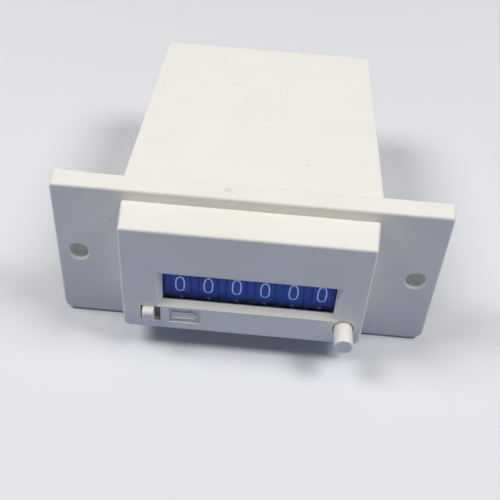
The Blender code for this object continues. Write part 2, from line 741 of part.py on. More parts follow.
def carry_outline():
    """The carry disc: a plain rim with one notch that holds two teeth."""
    tooth = 2 * math.pi / GEAR_TEETH
    low = CARRY_RADIUS - CARRY_NOTCH_DEPTH
    start, end = 3 * tooth, 2 * math.pi
    root, tip = GEAR_TOOTH_SHARES
    step = (end - start) / CARRY_STEPS
    outline = [wheel_point(CARRY_RADIUS, start + step * k) for k in range(CARRY_STEPS + 1)]
    outline.append(wheel_point(low, 0.0))
    for middle in (1, 2):
        for radius, share in ((low, -root), (CARRY_RADIUS, -tip), (CARRY_RADIUS, tip), (low, root)):
            outline.append(wheel_point(radius, (middle + share) * tooth))
    outline.append(wheel_point(low, start))
    return outline


def heart_outline(notch_angle, steps=18):
    """A heart cam, low at its notch and rising evenly on both sides to its far point."""
    points = []
    for k in range(steps):
        turn = 2 * math.pi * k / steps
        rise = 1 - abs(turn - math.pi) / math.pi
        radius = CAM_LOW + (CAM_HIGH - CAM_LOW) * rise
        points.append(wheel_point(radius, notch_angle + turn))
    return points


def ratchet_outline():
    """Ten saw teeth round the right side of the units wheel."""
    turn = 2 * math.pi / RATCHET_TEETH
    low = RATCHET_RADIUS - RATCHET_DEPTH
    foot, crest = RATCHET_SHARES
    corners = ((RATCHET_RADIUS, 0.0), (low, foot), (RATCHET_RADIUS, crest))
    return [
        wheel_point(radius, turn * (k + share)) for k in range(RATCHET_TEETH) for radius, share in corners
    ]


def recess(x, outer, inner):
    """A ring-shaped pocket cutter in one side of a wheel."""
    centre = (WHEEL_AXIS_Y, WHEEL_AXIS_Z)
    return cut(rod("X", centre, outer, *x, 28), rod("X", centre, inner, x[0] - PAST, x[1] + PAST, 20))


def make_number_wheel(number):
    """One wheel: drum, cam and carry disc on the left, gear ring or ratchet on the right."""
    x = FIRST_WHEEL_X + WHEEL_PITCH * (number - 1)
    centre = (WHEEL_AXIS_Y, WHEEL_AXIS_Z)
    left, right = x - WHEEL_WIDTH / 2, x + WHEEL_WIDTH / 2
    body = rod("X", centre, WHEEL_RADIUS, left, right, 48)
    finger_tip = (ROCKER_Y - FINGER_REACH - WHEEL_AXIS_Y, ROCKER_Z - FINGER_DROP - WHEEL_AXIS_Z)
    finger_angle = math.atan2(finger_tip[1], finger_tip[0])
    is_first, is_units = number == 1, number == WHEEL_COUNT
    if is_first:
        pocket = recess((left - PAST, x - WHEEL_WEB / 2), WHEEL_RADIUS - WHEEL_RIM, HUB_RADIUS)
        cut(body, pocket)
        join(body, rod("X", centre, HUB_RADIUS, left - CARRY_WIDTH, x, 20))
    else:
        join(body, prism("X", carry_outline(), left - CARRY_WIDTH, left + OVERLAP))
    cam_face = left - CARRY_WIDTH - CAM_WIDTH
    join(body, prism("X", heart_outline(finger_angle), cam_face, left - CARRY_WIDTH + OVERLAP))
    hub_face = x - WHEEL_PITCH + WHEEL_WIDTH / 2 + GEAR_WIDTH + RUNNING_CLEARANCE
    join(body, rod("X", centre, HUB_RADIUS, hub_face, left - CARRY_WIDTH, 16))
    if is_units:
        span = (x + WHEEL_WEB / 2, right + PAST)
        pocket = recess(span, WHEEL_RADIUS - WHEEL_RIM, RATCHET_RADIUS + SEAT)
        cut(body, pocket)
        join(body, prism("X", ratchet_outline(), right - OVERLAP, right + RATCHET_WIDTH))
    else:
        join(body, prism("X", gear_outline(), right - OVERLAP, right + GEAR_WIDTH))
    cut(body, rod("X", centre, BORE_RADIUS, hub_face - PAST, right + PAST, 16))
    piece(f"number_wheel_{number}", body, wheel_navy(), (x, *centre))


def make_pinion(number):
    """The pinion between one wheel's gear ring and the next wheel's carry disc."""
    wheel_x = FIRST_WHEEL_X + WHEEL_PITCH * (number - 1)
    left = wheel_x + WHEEL_WIDTH / 2 + PINION_SIDE_CLEARANCE
    right = wheel_x + WHEEL_PITCH - WHEEL_WIDTH / 2 - PINION_SIDE_CLEARANCE
    narrow_end = wheel_x + WHEEL_WIDTH / 2 + GEAR_WIDTH + FINGER_THICKNESS
    body = prism("X", pinion_outline(), left, right)
    centre = (PINION_AXIS_Y, WHEEL_AXIS_Z)
    inner, outer = PINION_PITCH_RADIUS - TOOTH_DEDENDUM, PINION_TIP + PAST
    turn = 2 * math.pi / PINION_TEETH
    wide, narrow = PINION_CUT_SHARES
    for k in range(0, PINION_TEETH, 2):
        wedge = []
        for radius, share in ((inner, -wide), (outer, -narrow), (outer, narrow), (inner, wide)):
            angle = math.pi + turn * (k + 0.5 + share)
            wedge.append((centre[0] + radius * math.cos(angle), centre[1] + radius * math.sin(angle)))
        cut(body, prism("X", wedge, narrow_end, right + PAST))
    bore = PINION_SHAFT_RADIUS + RUNNING_CLEARANCE
    cut(body, rod("X", centre, bore, left - PAST, right + PAST, 16))
    piece(f"transfer_pinion_{number}", body, pinion_white(), (wheel_x, *centre))


def make_wheel_shaft():
    left = PLATE_LEFT_INSIDE - PLATE_THICKNESS
    right = PLATE_RIGHT_INSIDE + PLATE_THICKNESS
    centre = (WHEEL_AXIS_Y, WHEEL_AXIS_Z)
    shaft = rod("X", centre, SHAFT_RADIUS, left - SHAFT_OVERHANG, right + SHAFT_OVERHANG, 20)
    piece("wheel_shaft", shaft, bright_steel())
    for name, face, outwards in (("left", left, -1), ("right", right, 1)):
        near = face + outwards * RUNNING_CLEARANCE
        ends = sorted((near, near + outwards * CLIP_THICKNESS))
        clip = rod("X", centre, CLIP_RADIUS, *ends, 20)
        cut(clip, rod("X", centre, SHAFT_RADIUS + SLIP, ends[0] - PAST, ends[1] + PAST, 20))
        through = (ends[0] - PAST, ends[1] + PAST)
        mouth = (centre[0] - SHAFT_RADIUS / 2, centre[0] + SHAFT_RADIUS / 2)
        cut(clip, block(through, mouth, (centre[1], centre[1] + CLIP_RADIUS + PAST)))
        piece(f"shaft_clip_{name}", clip, bright_steel())


def comb_outline():
    """One plate of the comb: a thin arc in line with the drums, hung from the bar above the lens."""
    inner = COMB_RADIUS - COMB_ARC_DEPTH
    crest = COMB_BAR_FOOT + COMB_BAR_HEIGHT
    foot = math.pi + math.radians(COMB_LOWER_REACH)
    outer_top = math.pi - math.asin((COMB_BAR_FOOT - WHEEL_AXIS_Z) / COMB_RADIUS)
    inner_top = math.pi - math.asin((crest - COMB_ARC_DEPTH - WHEEL_AXIS_Z) / inner)
    steps = 6
    outside = [wheel_point(COMB_RADIUS, foot + (outer_top - foot) * k / steps) for k in range(steps + 1)]
    inside = [wheel_point(inner, inner_top + (foot - inner_top) * k / steps) for k in range(steps + 1)]
    hook = [(COMB_BAR_BACK - OVERLAP, COMB_BAR_FOOT + OVERLAP), (COMB_BAR_BACK - OVERLAP, crest - OVERLAP)]
    return outside + hook + inside


def make_window_comb():
    """A bar above the lens with a plate between each pair of drums and one at each end."""
    gap_left = WHEEL_WIDTH / 2 + COMB_SIDE_CLEARANCE
    gap_right = WHEEL_PITCH - gap_left
    spans = []
    for k in range(WHEEL_COUNT - 1):
        x = FIRST_WHEEL_X + WHEEL_PITCH * k
        spans.append((x + gap_left, x + gap_right))
    row_left, row_right = FIRST_WHEEL_X - gap_left, LAST_WHEEL_X + gap_left
    spans.append((row_left - COMB_LEFT_END, row_left))
    spans.append((row_right, row_right + COMB_RIGHT_END))
    body = block(
        (row_left - COMB_LEFT_END, row_right + COMB_RIGHT_END),
        (COMB_BAR_FRONT, COMB_BAR_BACK),
        (COMB_BAR_FOOT, COMB_BAR_FOOT + COMB_BAR_HEIGHT),
    )
    for low, high in spans:
        join(body, prism("X", comb_outline(), low, high))
    piece("window_comb", body, wheel_navy())


def plate_outline():
    """A side plate: a rounded nose that carries the wheel shaft, and a tall body behind it."""
    nose = arc(WHEEL_AXIS_Y, WHEEL_AXIS_Z, PLATE_NOSE_RADIUS, 90, 270, 10)
    top, bottom = PLATE_HALF_HEIGHT, -PLATE_HALF_HEIGHT
    return nose + [
        (PLATE_SHOULDER, WHEEL_AXIS_Z - PLATE_NOSE_RADIUS),
        (PLATE_SHOULDER, bottom),
        (PLATE_REAR, bottom),
        (PLATE_REAR, top),
        (PLATE_SHOULDER, top),
        (PLATE_SHOULDER, WHEEL_AXIS_Z + PLATE_NOSE_RADIUS),
    ]


def tab_slots():
    """The (front, rear) of each slot that takes a tab of the yoke."""
    front = YOKE_FRONT + YOKE_TAB_LENGTH / 2
    rear = YOKE_BACK - YOKE_TAB_LENGTH * 1.5
    return [(front, front + YOKE_TAB_LENGTH), (rear, rear + YOKE_TAB_LENGTH)]


def make_frame_plate(side):
    inside = PLATE_RIGHT_INSIDE if side > 0 else PLATE_LEFT_INSIDE
    x = sorted((inside, inside + side * PLATE_THICKNESS))
    through = (x[0] - PAST, x[1] + PAST)
    body = prism("X", plate_outline(), *x)
    if side > 0:
        crest = BUTTON_CENTRE_Z + ROD_RADIUS + 2 * PLATE_THICKNESS
        foot = BUTTON_CENTRE_Z - ROD_RADIUS - 2 * PLATE_THICKNESS
        reach = BUTTON_CENTRE_X + ROD_RADIUS + PLATE_THICKNESS
        guide_y = (ROD_GUIDE_Y, ROD_GUIDE_Y + PLATE_THICKNESS)
        guide = block((x[1] - OVERLAP, reach), guide_y, (foot, crest))
        hole = rod(
            "Y",
            (BUTTON_CENTRE_X, BUTTON_CENTRE_Z),
            ROD_RADIUS + RUNNING_CLEARANCE,
            ROD_GUIDE_Y - PAST,
            ROD_GUIDE_Y + PLATE_THICKNESS + PAST,
            20,
        )
        join(body, cut(guide, hole))
    cut(body, rod("X", (WHEEL_AXIS_Y, WHEEL_AXIS_Z), BORE_RADIUS, *through, 20))
    cut(body, rod("X", (ROCKER_Y, ROCKER_Z), BORE_RADIUS, *through, 20))
    pin_hole = ARMATURE_PIN_RADIUS + RUNNING_CLEARANCE
    cut(body, rod("X", (ARMATURE_AXIS_Y, ARMATURE_AXIS_Z), pin_hole, *through, 16))
    for y in (TIE_FRONT_Y, TIE_REAR_Y):
        cut(body, rod("X", (y, TIE_Z), TIE_END_RADIUS + RUNNING_CLEARANCE, *through, 16))
    for front, rear in tab_slots():
        slot = block(through, (front - SLIP, rear + SLIP), (YOKE_BOTTOM - SLIP, YOKE_TOP + SLIP))
        cut(body, slot)
    middle = (tab_slots()[0][0], tab_slots()[1][1])
    low = (middle[0], YOKE_TOP + 2 * YOKE_THICKNESS)
    high = (middle[1] - YOKE_TAB_LENGTH, TIE_Z - 2 * TIE_RADIUS)
    cut(body, prism("X", round_box(low, high, YOKE_THICKNESS), *through))
    piece("frame_plate_right" if side > 0 else "frame_plate_left", body, zinc_steel())


def make_frame_tie(name, y):
    """A shouldered rod between the plates, headed over outside them."""
    left, right = PLATE_LEFT_INSIDE, PLATE_RIGHT_INSIDE
    gap = RUNNING_CLEARANCE
    head_in, head_out = PLATE_THICKNESS + gap, PLATE_THICKNESS + gap + TIE_HEAD_THICKNESS
    profile = [
        (left - head_out, TIE_HEAD_TOP_RADIUS),
        (left - head_in - TIE_HEAD_THICKNESS / 2, TIE_HEAD_RADIUS),
        (left - head_in, TIE_HEAD_RADIUS),
        (left - head_in, TIE_END_RADIUS),
        (left + gap, TIE_END_RADIUS),
        (left + gap, TIE_RADIUS),
        (right - gap, TIE_RADIUS),
        (right - gap, TIE_END_RADIUS),
        (right + head_in, TIE_END_RADIUS),
        (right + head_in, TIE_HEAD_RADIUS),
        (right + head_in + TIE_HEAD_THICKNESS / 2, TIE_HEAD_RADIUS),
        (right + head_out, TIE_HEAD_TOP_RADIUS),
    ]
    piece(name, lathe("X", (y, TIE_Z), profile, 12), zinc_steel())


def finger_outline():
    """A reset finger that reaches forward from the rocker and bends down at its tip."""
    tip_y, tip_z = ROCKER_Y - FINGER_REACH, ROCKER_Z - FINGER_DROP
    return [
        (ROCKER_Y, ROCKER_Z + FINGER_HEIGHT / 2),
        (tip_y + FINGER_HEIGHT / 2, ROCKER_Z + FINGER_HEIGHT / 2),
        (tip_y - FINGER_HEIGHT / 2, ROCKER_Z - FINGER_HEIGHT / 4),
        (tip_y - FINGER_HEIGHT / 3, tip_z),
        (tip_y + FINGER_HEIGHT / 3, tip_z),
        (tip_y + FINGER_HEIGHT, ROCKER_Z - FINGER_HEIGHT / 2),
        (ROCKER_Y, ROCKER_Z - FINGER_HEIGHT / 2),
    ]


def cheek(x):
    """One end arm of the rocker, from its shaft down to the pinion shaft."""
    outline = arc(ROCKER_Y, ROCKER_Z, ROCKER_TUBE_RADIUS, 0, 180, 8) + arc(
        PINION_AXIS_Y, WHEEL_AXIS_Z, CHEEK_HALF_WIDTH, 180, 360, 8
    )
    body = prism("X", outline, *x)
    hole = (PINION_AXIS_Y, WHEEL_AXIS_Z), PINION_SHAFT_RADIUS + RUNNING_CLEARANCE / 2
    return cut(body, rod("X", *hole, x[0] - PAST, x[1] + PAST, 16))


def rocker_ends():
    """The rocker's left and right outer faces, inside the plates."""
    return PLATE_LEFT_INSIDE + PLATE_SIDE_CLEARANCE, PLATE_RIGHT_INSIDE - PLATE_SIDE_CLEARANCE


def make_reset_rocker():
    """A moulded comb: a tube on the rocker shaft, a finger for each wheel and two end arms."""
    left, right = rocker_ends()
    centre = (ROCKER_Y, ROCKER_Z)
    body = rod("X", centre, ROCKER_TUBE_RADIUS, left, right - CHEEK_THICKNESS, 20)
    join(body, cheek((left, left + CHEEK_THICKNESS)), cheek((right - CHEEK_THICKNESS, right)))
    for k in range(WHEEL_COUNT):
        x = FIRST_WHEEL_X + WHEEL_PITCH * (k - 0.5)
        join(body, prism("X", finger_outline(), x - FINGER_THICKNESS / 2, x + FINGER_THICKNESS / 2))
    cut(body, rod("X", centre, SHAFT_RADIUS + RUNNING_CLEARANCE, left - PAST, right + PAST, 20))
    piece("reset_rocker", body, pinion_white(), (0.0, *centre))
    pinion_shaft = rod("X", (PINION_AXIS_Y, WHEEL_AXIS_Z), PINION_SHAFT_RADIUS, left, right, 16)
    piece("pinion_shaft", pinion_shaft, bright_steel(), (0.0, *centre))


def make_rocker_shaft_and_lever():
    """The rocker's shaft runs through both plates and carries the lever that the button pushes."""
    centre = (ROCKER_Y, ROCKER_Z)
    left = PLATE_LEFT_INSIDE - PLATE_THICKNESS - SHAFT_OVERHANG
    middle = BUTTON_CENTRE_X
    lever_x = (middle - LEVER_THICKNESS / 2, middle + LEVER_THICKNESS / 2)
    shaft = rod("X", centre, SHAFT_RADIUS, left, lever_x[1] + OVERLAP, 20)
    piece("rocker_shaft", shaft, bright_steel(), (0.0, *centre))
    foot = BUTTON_CENTRE_Z - ROD_RADIUS
    outline = arc(*centre, LEVER_HUB_RADIUS, 0, 180, 10)
    outline += arc(ROCKER_Y, foot, CHEEK_HALF_WIDTH, 180, 360, 6)
    lever = prism("X", outline, *lever_x)
    hub_left = PLATE_RIGHT_INSIDE + PLATE_THICKNESS + PLATE_SIDE_CLEARANCE
    join(lever, rod("X", centre, LEVER_BUSH_RADIUS, hub_left, lever_x[0] + OVERLAP, 20))
    bore = SHAFT_RADIUS + RUNNING_CLEARANCE / 2
    cut(lever, rod("X", centre, bore, hub_left - PAST, lever_x[1] + PAST, 20))
    piece("reset_lever", lever, zinc_steel(), (0.0, *centre))


def make_reset_button():
    """The button, its collar behind the face and the rod that reaches the reset lever."""
    centre = (BUTTON_CENTRE_X, BUTTON_CENTRE_Z)
    halfway = BUTTON_ROUND * (1 - math.cos(math.radians(45)))
    profile = [
        (BUTTON_FRONT, BUTTON_RADIUS - BUTTON_ROUND),
        (BUTTON_FRONT + halfway, BUTTON_RADIUS - halfway),
        (BUTTON_FRONT + BUTTON_ROUND, BUTTON_RADIUS),
        (COLLAR_FRONT, BUTTON_RADIUS),
        (COLLAR_FRONT, COLLAR_RADIUS),
        (COLLAR_BACK, COLLAR_RADIUS),
        (COLLAR_BACK, ROD_RADIUS),
        (ROD_END - (ROD_RADIUS - ROD_TIP_RADIUS), ROD_RADIUS),
        (ROD_END, ROD_TIP_RADIUS),
    ]
    button = lathe("Y", centre, profile, 28)
    piece("reset_button", button, ivory(), (centre[0], BUTTON_FRONT, centre[1]))


def bent_wire(name, route, thickness, finish):
    """A round wire along a line of 3D points, with closed ends."""
    curve = bpy.data.curves.new(name, "CURVE")
    curve.dimensions = "3D"
    curve.bevel_depth = thickness / 2
    curve.bevel_resolution = 1
    curve.use_fill_caps = True
    line = curve.splines.new("POLY")
    line.points.add(len(route) - 1)
    for point, corner in zip(line.points, route):
        point.co = (*corner, 1.0)
    made = bpy.data.objects.new(name, curve)
    bpy.context.scene.collection.objects.link(made)
    curve.materials.append(finish)
    made.parent = bpy.data.objects["counter_frame"]


def spring(name, radius, turns, start, end):
    """A coil spring along Y from start to end."""
    count = turns * SPRING_STEPS
    (x0, y0, z0), (x1, y1, z1) = start, end
    route = []
    for k in range(count + 1):
        share = k / count
        turn = 2 * math.pi * k / SPRING_STEPS
        x = x0 + (x1 - x0) * share + radius * math.cos(turn)
        z = z0 + (z1 - z0) * share + radius * math.sin(turn)
        route.append((x, y0 + (y1 - y0) * share, z))
    bent_wire(name, route, SPRING_WIRE, bright_steel())


def make_springs():
    reach = SPRING_WIRE / 2 + SEAT
    spring(
        "reset_spring",
        SPRING_RADIUS,
        SPRING_TURNS,
        (BUTTON_CENTRE_X, COLLAR_BACK + reach, BUTTON_CENTRE_Z),
        (BUTTON_CENTRE_X, ROD_GUIDE_Y - reach, BUTTON_CENTRE_Z),
    )
    armature_front = ARMATURE_AXIS_Y - ARMATURE_THICKNESS / 2
    spring(
        "armature_spring",
        ARMATURE_SPRING_RADIUS,
        ARMATURE_SPRING_TURNS,
        (ARMATURE_SPRING_X, TIE_FRONT_Y + TIE_RADIUS + reach, TIE_Z),
        (ARMATURE_SPRING_X, armature_front - reach, ARMATURE_TOP - ARMATURE_SPRING_RADIUS),
    )


def make_lock_slider():
    """The finger knob on a flat bar that runs behind the face towards the button's collar."""
    body = block((SLIDE_LEFT, SLIDE_RIGHT), (SLIDE_FRONT, SLIDE_BACK), (SLIDE_BOTTOM, SLIDE_TOP))
    bottom, top = KNOB_CENTRE_Z - KNOB_HEIGHT / 2, KNOB_CENTRE_Z + KNOB_HEIGHT / 2
    front = FACE_Y - KNOB_PROUD
    side = [
        (SLIDE_FRONT + OVERLAP, bottom),
        (SLIDE_FRONT + OVERLAP, top),
    ] + arc(front + KNOB_TOP_ROUND, top - KNOB_TOP_ROUND, KNOB_TOP_ROUND, 90, 180, 5)
    side += arc(front + KNOB_ROUND, bottom + KNOB_ROUND, KNOB_ROUND, 180, 270, 3)
    knob = prism("X", side, KNOB_CENTRE_X - KNOB_WIDTH / 2, KNOB_CENTRE_X + KNOB_WIDTH / 2)
    join(body, knob)
    piece("lock_slider", body, ivory(), (KNOB_CENTRE_X, FACE_Y, KNOB_CENTRE_Z))


def make_coil():
    """Bobbin, winding and core, in line along the depth of the case."""
    centre = (0.0, COIL_CENTRE_Z)
    tube = CORE_RADIUS + SEAT + BOBBIN_TUBE_WALL
    front_in, back_in = BOBBIN_FRONT + BOBBIN_FLANGE, BOBBIN_BACK - BOBBIN_FLANGE
    profile = [
        (BOBBIN_FRONT, BOBBIN_FLANGE_RADIUS),
        (front_in, BOBBIN_FLANGE_RADIUS),
        (front_in, tube),
        (back_in, tube),
        (back_in, BOBBIN_FLANGE_RADIUS),
        (BOBBIN_BACK, BOBBIN_FLANGE_RADIUS),
    ]
    bore = CORE_RADIUS + SEAT / 2
    bobbin = lathe("Y", centre, profile, 24)
    cut(bobbin, rod("Y", centre, bore, BOBBIN_FRONT - PAST, BOBBIN_BACK + PAST, 20))
    piece("coil_bobbin", bobbin, bobbin_nylon())
    winding = rod("Y", centre, WINDING_RADIUS, front_in + SEAT, back_in - SEAT, 32)
    cut(winding, rod("Y", centre, tube + SEAT, front_in - PAST, back_in + PAST, 20))
    piece("coil_winding", winding, copper_wire())
    core = lathe(
        "Y",
        centre,
        [
            (POLE_Y, POLE_RADIUS),
            (POLE_Y + POLE_THICKNESS, POLE_RADIUS),
            (POLE_Y + POLE_THICKNESS, CORE_RADIUS),
            (YOKE_BACK + YOKE_THICKNESS / 2, CORE_RADIUS),
        ],
        20,
    )
    piece("coil_core", core, zinc_steel())


def make_yoke():
    """A bent plate under the coil that turns up behind it, with tabs through the side plates."""
    left, right = PLATE_LEFT_INSIDE + SEAT, PLATE_RIGHT_INSIDE - SEAT
    body = block((left, right), (YOKE_FRONT, YOKE_BACK), (YOKE_BOTTOM, YOKE_TOP))
    half = BOBBIN_FLANGE_RADIUS
    upright_y = (YOKE_BACK - YOKE_THICKNESS, YOKE_BACK)
    join(body, block((-half, half), upright_y, (YOKE_BOTTOM, COIL_CENTRE_Z + YOKE_UPRIGHT_RISE)))
    for front, rear in tab_slots():
        for inside, outwards in ((PLATE_LEFT_INSIDE, -1), (PLATE_RIGHT_INSIDE, 1)):
            tip = inside + outwards * (PLATE_THICKNESS + OVERLAP)
            x = sorted((inside - outwards * (SEAT + OVERLAP), tip))
            join(body, block(x, (front, rear), (YOKE_BOTTOM, YOKE_TOP)))
    hole = CORE_RADIUS + RUNNING_CLEARANCE
    cut(body, rod("Y", (0.0, COIL_CENTRE_Z), hole, upright_y[0] - PAST, upright_y[1] + PAST, 20))
    piece("yoke", body, zinc_steel())


def make_armature():
    """The hinged plate in front of the pole, rolled round its pin at the bottom."""
    axis = (ARMATURE_AXIS_Y, ARMATURE_AXIS_Z)
    half = ARMATURE_WIDTH / 2
    front = ARMATURE_AXIS_Y - ARMATURE_THICKNESS / 2
    plate_y = (front, front + ARMATURE_THICKNESS)
    body = block((-half, half), plate_y, (ARMATURE_AXIS_Z, ARMATURE_TOP))
    join(body, rod("X", axis, ARMATURE_BARREL_RADIUS, -half - OVERLAP, half + OVERLAP, 16))
    bore = ARMATURE_PIN_RADIUS + RUNNING_CLEARANCE
    cut(body, rod("X", axis, bore, -half - PAST, half + PAST, 16))
    piece("armature", body, zinc_steel(), (0.0, *axis))
    left = PLATE_LEFT_INSIDE - PLATE_THICKNESS - OVERLAP
    right = PLATE_RIGHT_INSIDE + PLATE_THICKNESS + OVERLAP
    piece("armature_pin", rod("X", axis, ARMATURE_PIN_RADIUS, left, right, 16), bright_steel())


def make_pallet_lever():
    """A flat lever on the armature whose fork straddles the units wheel's ratchet."""
    lift = (ARMATURE_AXIS_Y - WHEEL_AXIS_Y) * math.radians(ARMATURE_SWING)
    upper = WHEEL_AXIS_Z + RATCHET_RADIUS + PALLET_CLEARANCE
    lower = WHEEL_AXIS_Z - RATCHET_RADIUS - PALLET_CLEARANCE - lift
    web_front = WHEEL_AXIS_Y + RATCHET_RADIUS + 3 * PALLET_CLEARANCE
    web_back = web_front + PALLET_HEIGHT
    prong_tip = WHEEL_AXIS_Y - PALLET_HEIGHT
    foot_back = ARMATURE_AXIS_Y - ARMATURE_THICKNESS / 2 - RUNNING_CLEARANCE
    outline = [
        (prong_tip, upper),
        (web_front, upper),
        (web_front, lower),
        (prong_tip, lower),
        (prong_tip, lower - PALLET_HEIGHT / 2),
        (web_front, lower - PALLET_HEIGHT),
        (foot_back, lower - PALLET_HEIGHT),
        (foot_back, lower + PALLET_HEIGHT / 2),
        (web_back, lower + PALLET_HEIGHT / 2),
        (web_back, upper + PALLET_HEIGHT),
        (web_front, upper + PALLET_HEIGHT),
        (prong_tip, upper + PALLET_HEIGHT / 2),
    ]
    x = (RATCHET_RIGHT - RATCHET_WIDTH, RATCHET_RIGHT)
    body = prism("X", outline, *x)
    foot_front = foot_back - PLATE_THICKNESS
    foot = block(
        (ARMATURE_WIDTH / 4, x[0] + OVERLAP),
        (foot_front, foot_back),
        (lower - PALLET_HEIGHT / 2, lower + PALLET_HEIGHT / 2),
    )
    join(body, foot)
    piece("pallet_lever", body, zinc_steel(), (0.0, ARMATURE_AXIS_Y, ARMATURE_AXIS_Z))


def make_terminals():
    """A block against the back wall with two blades through the wall."""
    front, rear = BLOCK_FRONT, BLOCK_FRONT + BLOCK_DEPTH
    half = BLOCK_HEIGHT / 2
    body = block((-BLOCK_WIDTH / 2, BLOCK_WIDTH / 2), (front, rear), (-half, half))
    for side in (-1, 1):
        x = side * BLADE_SPACING / 2
        blade_x = (x - BLADE_THICKNESS / 2, x + BLADE_THICKNESS / 2)
        blade_y = (front - BLADE_IN, BLADE_END)
        outline = round_box(
            (blade_y[0], -BLADE_WIDTH / 2), (blade_y[1], BLADE_WIDTH / 2), BLADE_THICKNESS / 2, steps=2
        )
        blade = prism("X", outline, *blade_x)
        through = (blade_x[0] - PAST, blade_x[1] + PAST)
        cut(blade, rod("X", (BLADE_END - BLADE_WIDTH / 2, 0.0), BLADE_WIDTH / 5, *through, 16))
        gap = RUNNING_CLEARANCE
        half_slot = BLADE_WIDTH / 2 + gap
        slot_x = (blade_x[0] - gap, blade_x[1] + gap)
        cut(body, block(slot_x, (front - PAST, rear + PAST), (-half_slot, half_slot)))
        piece("terminal_left" if side < 0 else "terminal_right", blade, tinned_brass())
    piece("terminal_block", body, bobbin_nylon())


def make_coil_leads():
    """The winding's two ends, led over the bobbin's rear flange and down to the blades."""
    gap = SEAT + LEAD_WIRE / 2
    flange_front = BOBBIN_BACK - BOBBIN_FLANGE
    for name, side in (("left", -1), ("right", 1)):
        x = side * BLADE_SPACING / 2
        wound = COIL_CENTRE_Z + math.sqrt(WINDING_RADIUS**2 - x**2) + gap
        crest = COIL_CENTRE_Z + math.sqrt(BOBBIN_FLANGE_RADIUS**2 - x**2) + gap
        landing = BLADE_WIDTH / 2 + gap
        drop = YOKE_BACK + YOKE_TO_TIE / 2
        blade_front = BLOCK_FRONT - BLADE_IN
        side_view = [
            (flange_front - gap - LEAD_TAIL, wound),
            (flange_front - gap, wound),
            (flange_front - gap / 2, crest),
            (YOKE_BACK, crest),
            (drop, crest - gap),
            ((drop + blade_front) / 2, (crest + landing) / 2 - gap),
            (blade_front, landing + LEAD_WIRE),
            (blade_front + LEAD_TAIL, landing),
        ]
        bent_wire(f"coil_lead_{name}", [(x, y, z) for y, z in side_view], LEAD_WIRE, copper_wire())


def main():
    for obj in list(bpy.data.objects):
        bpy.data.objects.remove(obj)
    frame = bpy.data.objects.new("counter_frame", None)
    bpy.context.scene.collection.objects.link(frame)
    frame.location = (0.0, WORLD_SHIFT_Y, WORLD_SHIFT_Z)
    make_front_panel()
    make_lens()
    make_case()
    for number in range(1, WHEEL_COUNT + 1):
        make_number_wheel(number)
    for number in range(1, WHEEL_COUNT):
        make_pinion(number)
    make_wheel_shaft()
    make_window_comb()
    make_frame_plate(-1)
    make_frame_plate(1)
    make_frame_tie("frame_tie_front", TIE_FRONT_Y)
    make_frame_tie("frame_tie_rear", TIE_REAR_Y)
    make_reset_rocker()
    make_rocker_shaft_and_lever()
    make_reset_button()
    make_lock_slider()
    make_coil()
    make_yoke()
    make_armature()
    make_pallet_lever()
    make_springs()
    make_terminals()
    make_coil_leads()


main()
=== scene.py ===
"""Looks of a panel counter: its finishes, printed digits, springs and winding, and the stage.

Metres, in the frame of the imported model, whose nodes stay as they are.
"""
import json
import math

import bmesh
import bpy
from mathutils import Matrix, Vector


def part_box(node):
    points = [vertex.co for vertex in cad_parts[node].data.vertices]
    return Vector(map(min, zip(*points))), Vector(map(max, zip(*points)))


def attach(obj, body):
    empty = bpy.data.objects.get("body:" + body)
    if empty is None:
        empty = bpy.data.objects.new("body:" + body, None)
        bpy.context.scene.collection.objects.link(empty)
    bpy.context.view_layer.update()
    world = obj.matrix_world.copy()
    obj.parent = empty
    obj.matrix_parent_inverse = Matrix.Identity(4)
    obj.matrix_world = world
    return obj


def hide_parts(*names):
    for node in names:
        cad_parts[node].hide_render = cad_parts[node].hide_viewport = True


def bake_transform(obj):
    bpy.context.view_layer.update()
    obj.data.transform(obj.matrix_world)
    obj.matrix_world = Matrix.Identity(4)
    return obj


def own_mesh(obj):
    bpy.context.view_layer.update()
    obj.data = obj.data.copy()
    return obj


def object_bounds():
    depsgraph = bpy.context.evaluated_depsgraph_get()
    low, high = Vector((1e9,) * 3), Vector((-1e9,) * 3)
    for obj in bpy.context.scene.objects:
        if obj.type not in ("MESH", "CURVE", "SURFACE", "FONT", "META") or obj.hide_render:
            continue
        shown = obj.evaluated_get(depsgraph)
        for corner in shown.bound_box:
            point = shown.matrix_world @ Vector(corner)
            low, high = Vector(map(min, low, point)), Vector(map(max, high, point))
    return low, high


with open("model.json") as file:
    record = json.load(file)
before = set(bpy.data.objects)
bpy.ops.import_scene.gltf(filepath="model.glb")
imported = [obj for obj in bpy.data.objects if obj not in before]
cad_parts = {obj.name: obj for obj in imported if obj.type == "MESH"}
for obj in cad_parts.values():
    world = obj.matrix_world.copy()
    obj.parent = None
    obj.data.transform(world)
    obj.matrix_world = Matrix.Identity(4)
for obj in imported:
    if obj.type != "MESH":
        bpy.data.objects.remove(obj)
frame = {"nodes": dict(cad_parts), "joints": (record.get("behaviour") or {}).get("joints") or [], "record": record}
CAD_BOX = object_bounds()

bl_info = {
    "name": "Panel counter looks",
    "version": (1, 0, 0),
    "blender": (4, 5, 0),
    "location": "View3D > Sidebar > Counter",
    "description": "Dresses the packed panel counter and sets it on a pale stage",
    "category": "Object",
}

